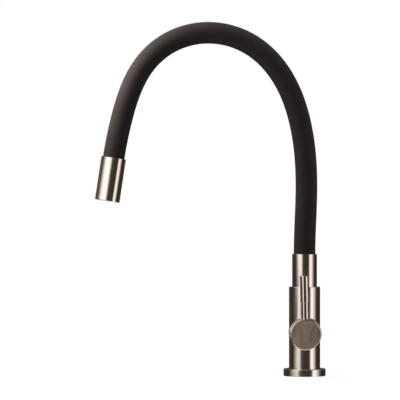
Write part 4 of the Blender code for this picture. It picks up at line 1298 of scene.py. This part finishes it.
def tone_at(azimuth, height):
    """The tent's painted glow here: bright bands, slightly cool, that fade into a dim warm glow."""
    dark = read_off(DIM_GLOW_LEVELS, azimuth)
    pieces = [eased(height, *span) for span in (FLANGE_SPAN, COLLAR_SPAN, HEAD_SPAN)]
    dark += EDGE_TONE * pieces[-1] * eased(abs(azimuth), *EDGE_SPAN)
    outer, inner, right_shift = (
        sum(shift * piece for shift, piece in zip(shifts, pieces))
        for shifts in (LEFT_OUTER_SHIFTS, LEFT_INNER_SHIFTS, RIGHT_SHIFTS)
    )
    left = glow_share(azimuth, LEFT_GLOW_BAND, outer, inner)
    left *= LEFT_LOW + LEFT_RISE * eased(height, *LEFT_RISE_SPAN)
    # Painted shade: the left band's glow is darkened where the dark patch lies
    edge = DARK_PATCH_EDGE + DARK_PATCH_LEAN * eased(height, *DARK_PATCH_LEAN_SPAN)
    dark_patch = eased(azimuth, edge, edge - DARK_PATCH_SOFTNESS)
    dark_patch *= eased(height, *DARK_PATCH_LOW_SPAN) * eased(height, *DARK_PATCH_HIGH_SPAN)
    right = RIGHT_TONE * glow_share(azimuth, RIGHT_GLOW_BAND, right_shift, right_shift)
    tone = dark + left * (1 - DARK_PATCH_SHADE * dark_patch) + right
    coolness = min(tone / BRIGHT_GLOW_FROM, 1)
    return [tone * (warm + (cool - warm) * coolness) for warm, cool in zip(DIM_GLOW_TINT, BRIGHT_GLOW_TINT)]


def make_tent():
    """A round wall with painted glow, closed behind the tap too, with a roof whose painted glow is
    brighter on the left.
    """
    azimuths = range(-TENT_HALF, TENT_HALF + 1, TENT_STEP)
    rows = len(TENT_HEIGHTS) + len(TENT_ROOF)
    points = []
    tones = []
    for azimuth in azimuths:
        for height in TENT_HEIGHTS:
            points.append(around(azimuth, TENT_RADIUS, height))
            tones.append((*tone_at(azimuth, height), 1))
        roof = ROOF_DARK + ROOF_TONE * eased(azimuth, *ROOF_SPAN)
        for distance, height in TENT_ROOF:
            points.append(around(azimuth, distance, height))
            tones.append((roof, roof, roof, 1))
    faces = []
    for step in range(len(azimuths) - 1):
        for row in range(rows - 1):
            corner = step * rows + row
            faces.append((corner, corner + rows, corner + rows + 1, corner + 1))
    mesh = bpy.data.meshes.new("tent")
    mesh.from_pydata(points, [], faces)
    colours = mesh.color_attributes.new("tone", "FLOAT_COLOR", "POINT")
    for entry, tone in zip(colours.data, tones):
        entry.color = tone
    tent = shown("tent", mesh, tent_cloth())
    tent.visible_camera = False
    tent.visible_diffuse = False
    tent.visible_transmission = False
    tent.visible_shadow = False
    tent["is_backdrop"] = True


def lamp(name, kind, power, way, place=(0, 0, 0)):
    """A lamp that lights matt surfaces only. Neither metal nor the camera sees it."""
    light = bpy.data.lights.new(name, kind)
    light.energy = power
    made = bpy.data.objects.new(name, light)
    bpy.context.scene.collection.objects.link(made)
    made.location = place
    made.rotation_euler = Vector(way).to_track_quat("-Z", "Y").to_euler()
    made.visible_glossy = False
    made.visible_camera = False
    return light


floor_mesh = bpy.data.meshes.new("floor")
half = FLOOR_SIZE / 2
floor_corners = [(-half, -half, 0), (half, -half, 0), (half, half, 0), (-half, half, 0)]
floor_mesh.from_pydata(floor_corners, [], [(0, 1, 2, 3)])
floor = shown("floor", floor_mesh, white_floor())
floor.visible_glossy = False
floor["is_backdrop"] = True
make_tent()
lamp("sky_light", "SUN", SKY_POWER, SKY_WAY).angle = SKY_SPREAD
for name, place, size, power in LAMPS:
    lamp(name, "AREA", power, Vector(HOSE_MIDDLE) - Vector(place), place).size = size

world = bpy.data.worlds.new("white_surround")
bpy.context.scene.world = world
world.use_nodes = True
surround = world.node_tree.nodes["Background"]
surround.inputs["Color"].default_value = (1, 1, 1, 1)
drive(surround, Strength=is_seen(world.node_tree) * SURROUND_GLOW + SURROUND_LIGHT)

camera_data = bpy.data.cameras.new("camera")
camera_data.lens = LENS
camera_data.clip_end = CAMERA_CLIP
camera = bpy.data.objects.new("camera", camera_data)
bpy.context.scene.collection.objects.link(camera)
camera.location = CAMERA_PLACE
camera.rotation_euler = (math.pi / 2, 0, CAMERA_TURN)
bpy.context.scene.camera = camera
bpy.context.scene.view_settings.view_transform = "Standard"

low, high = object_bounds()
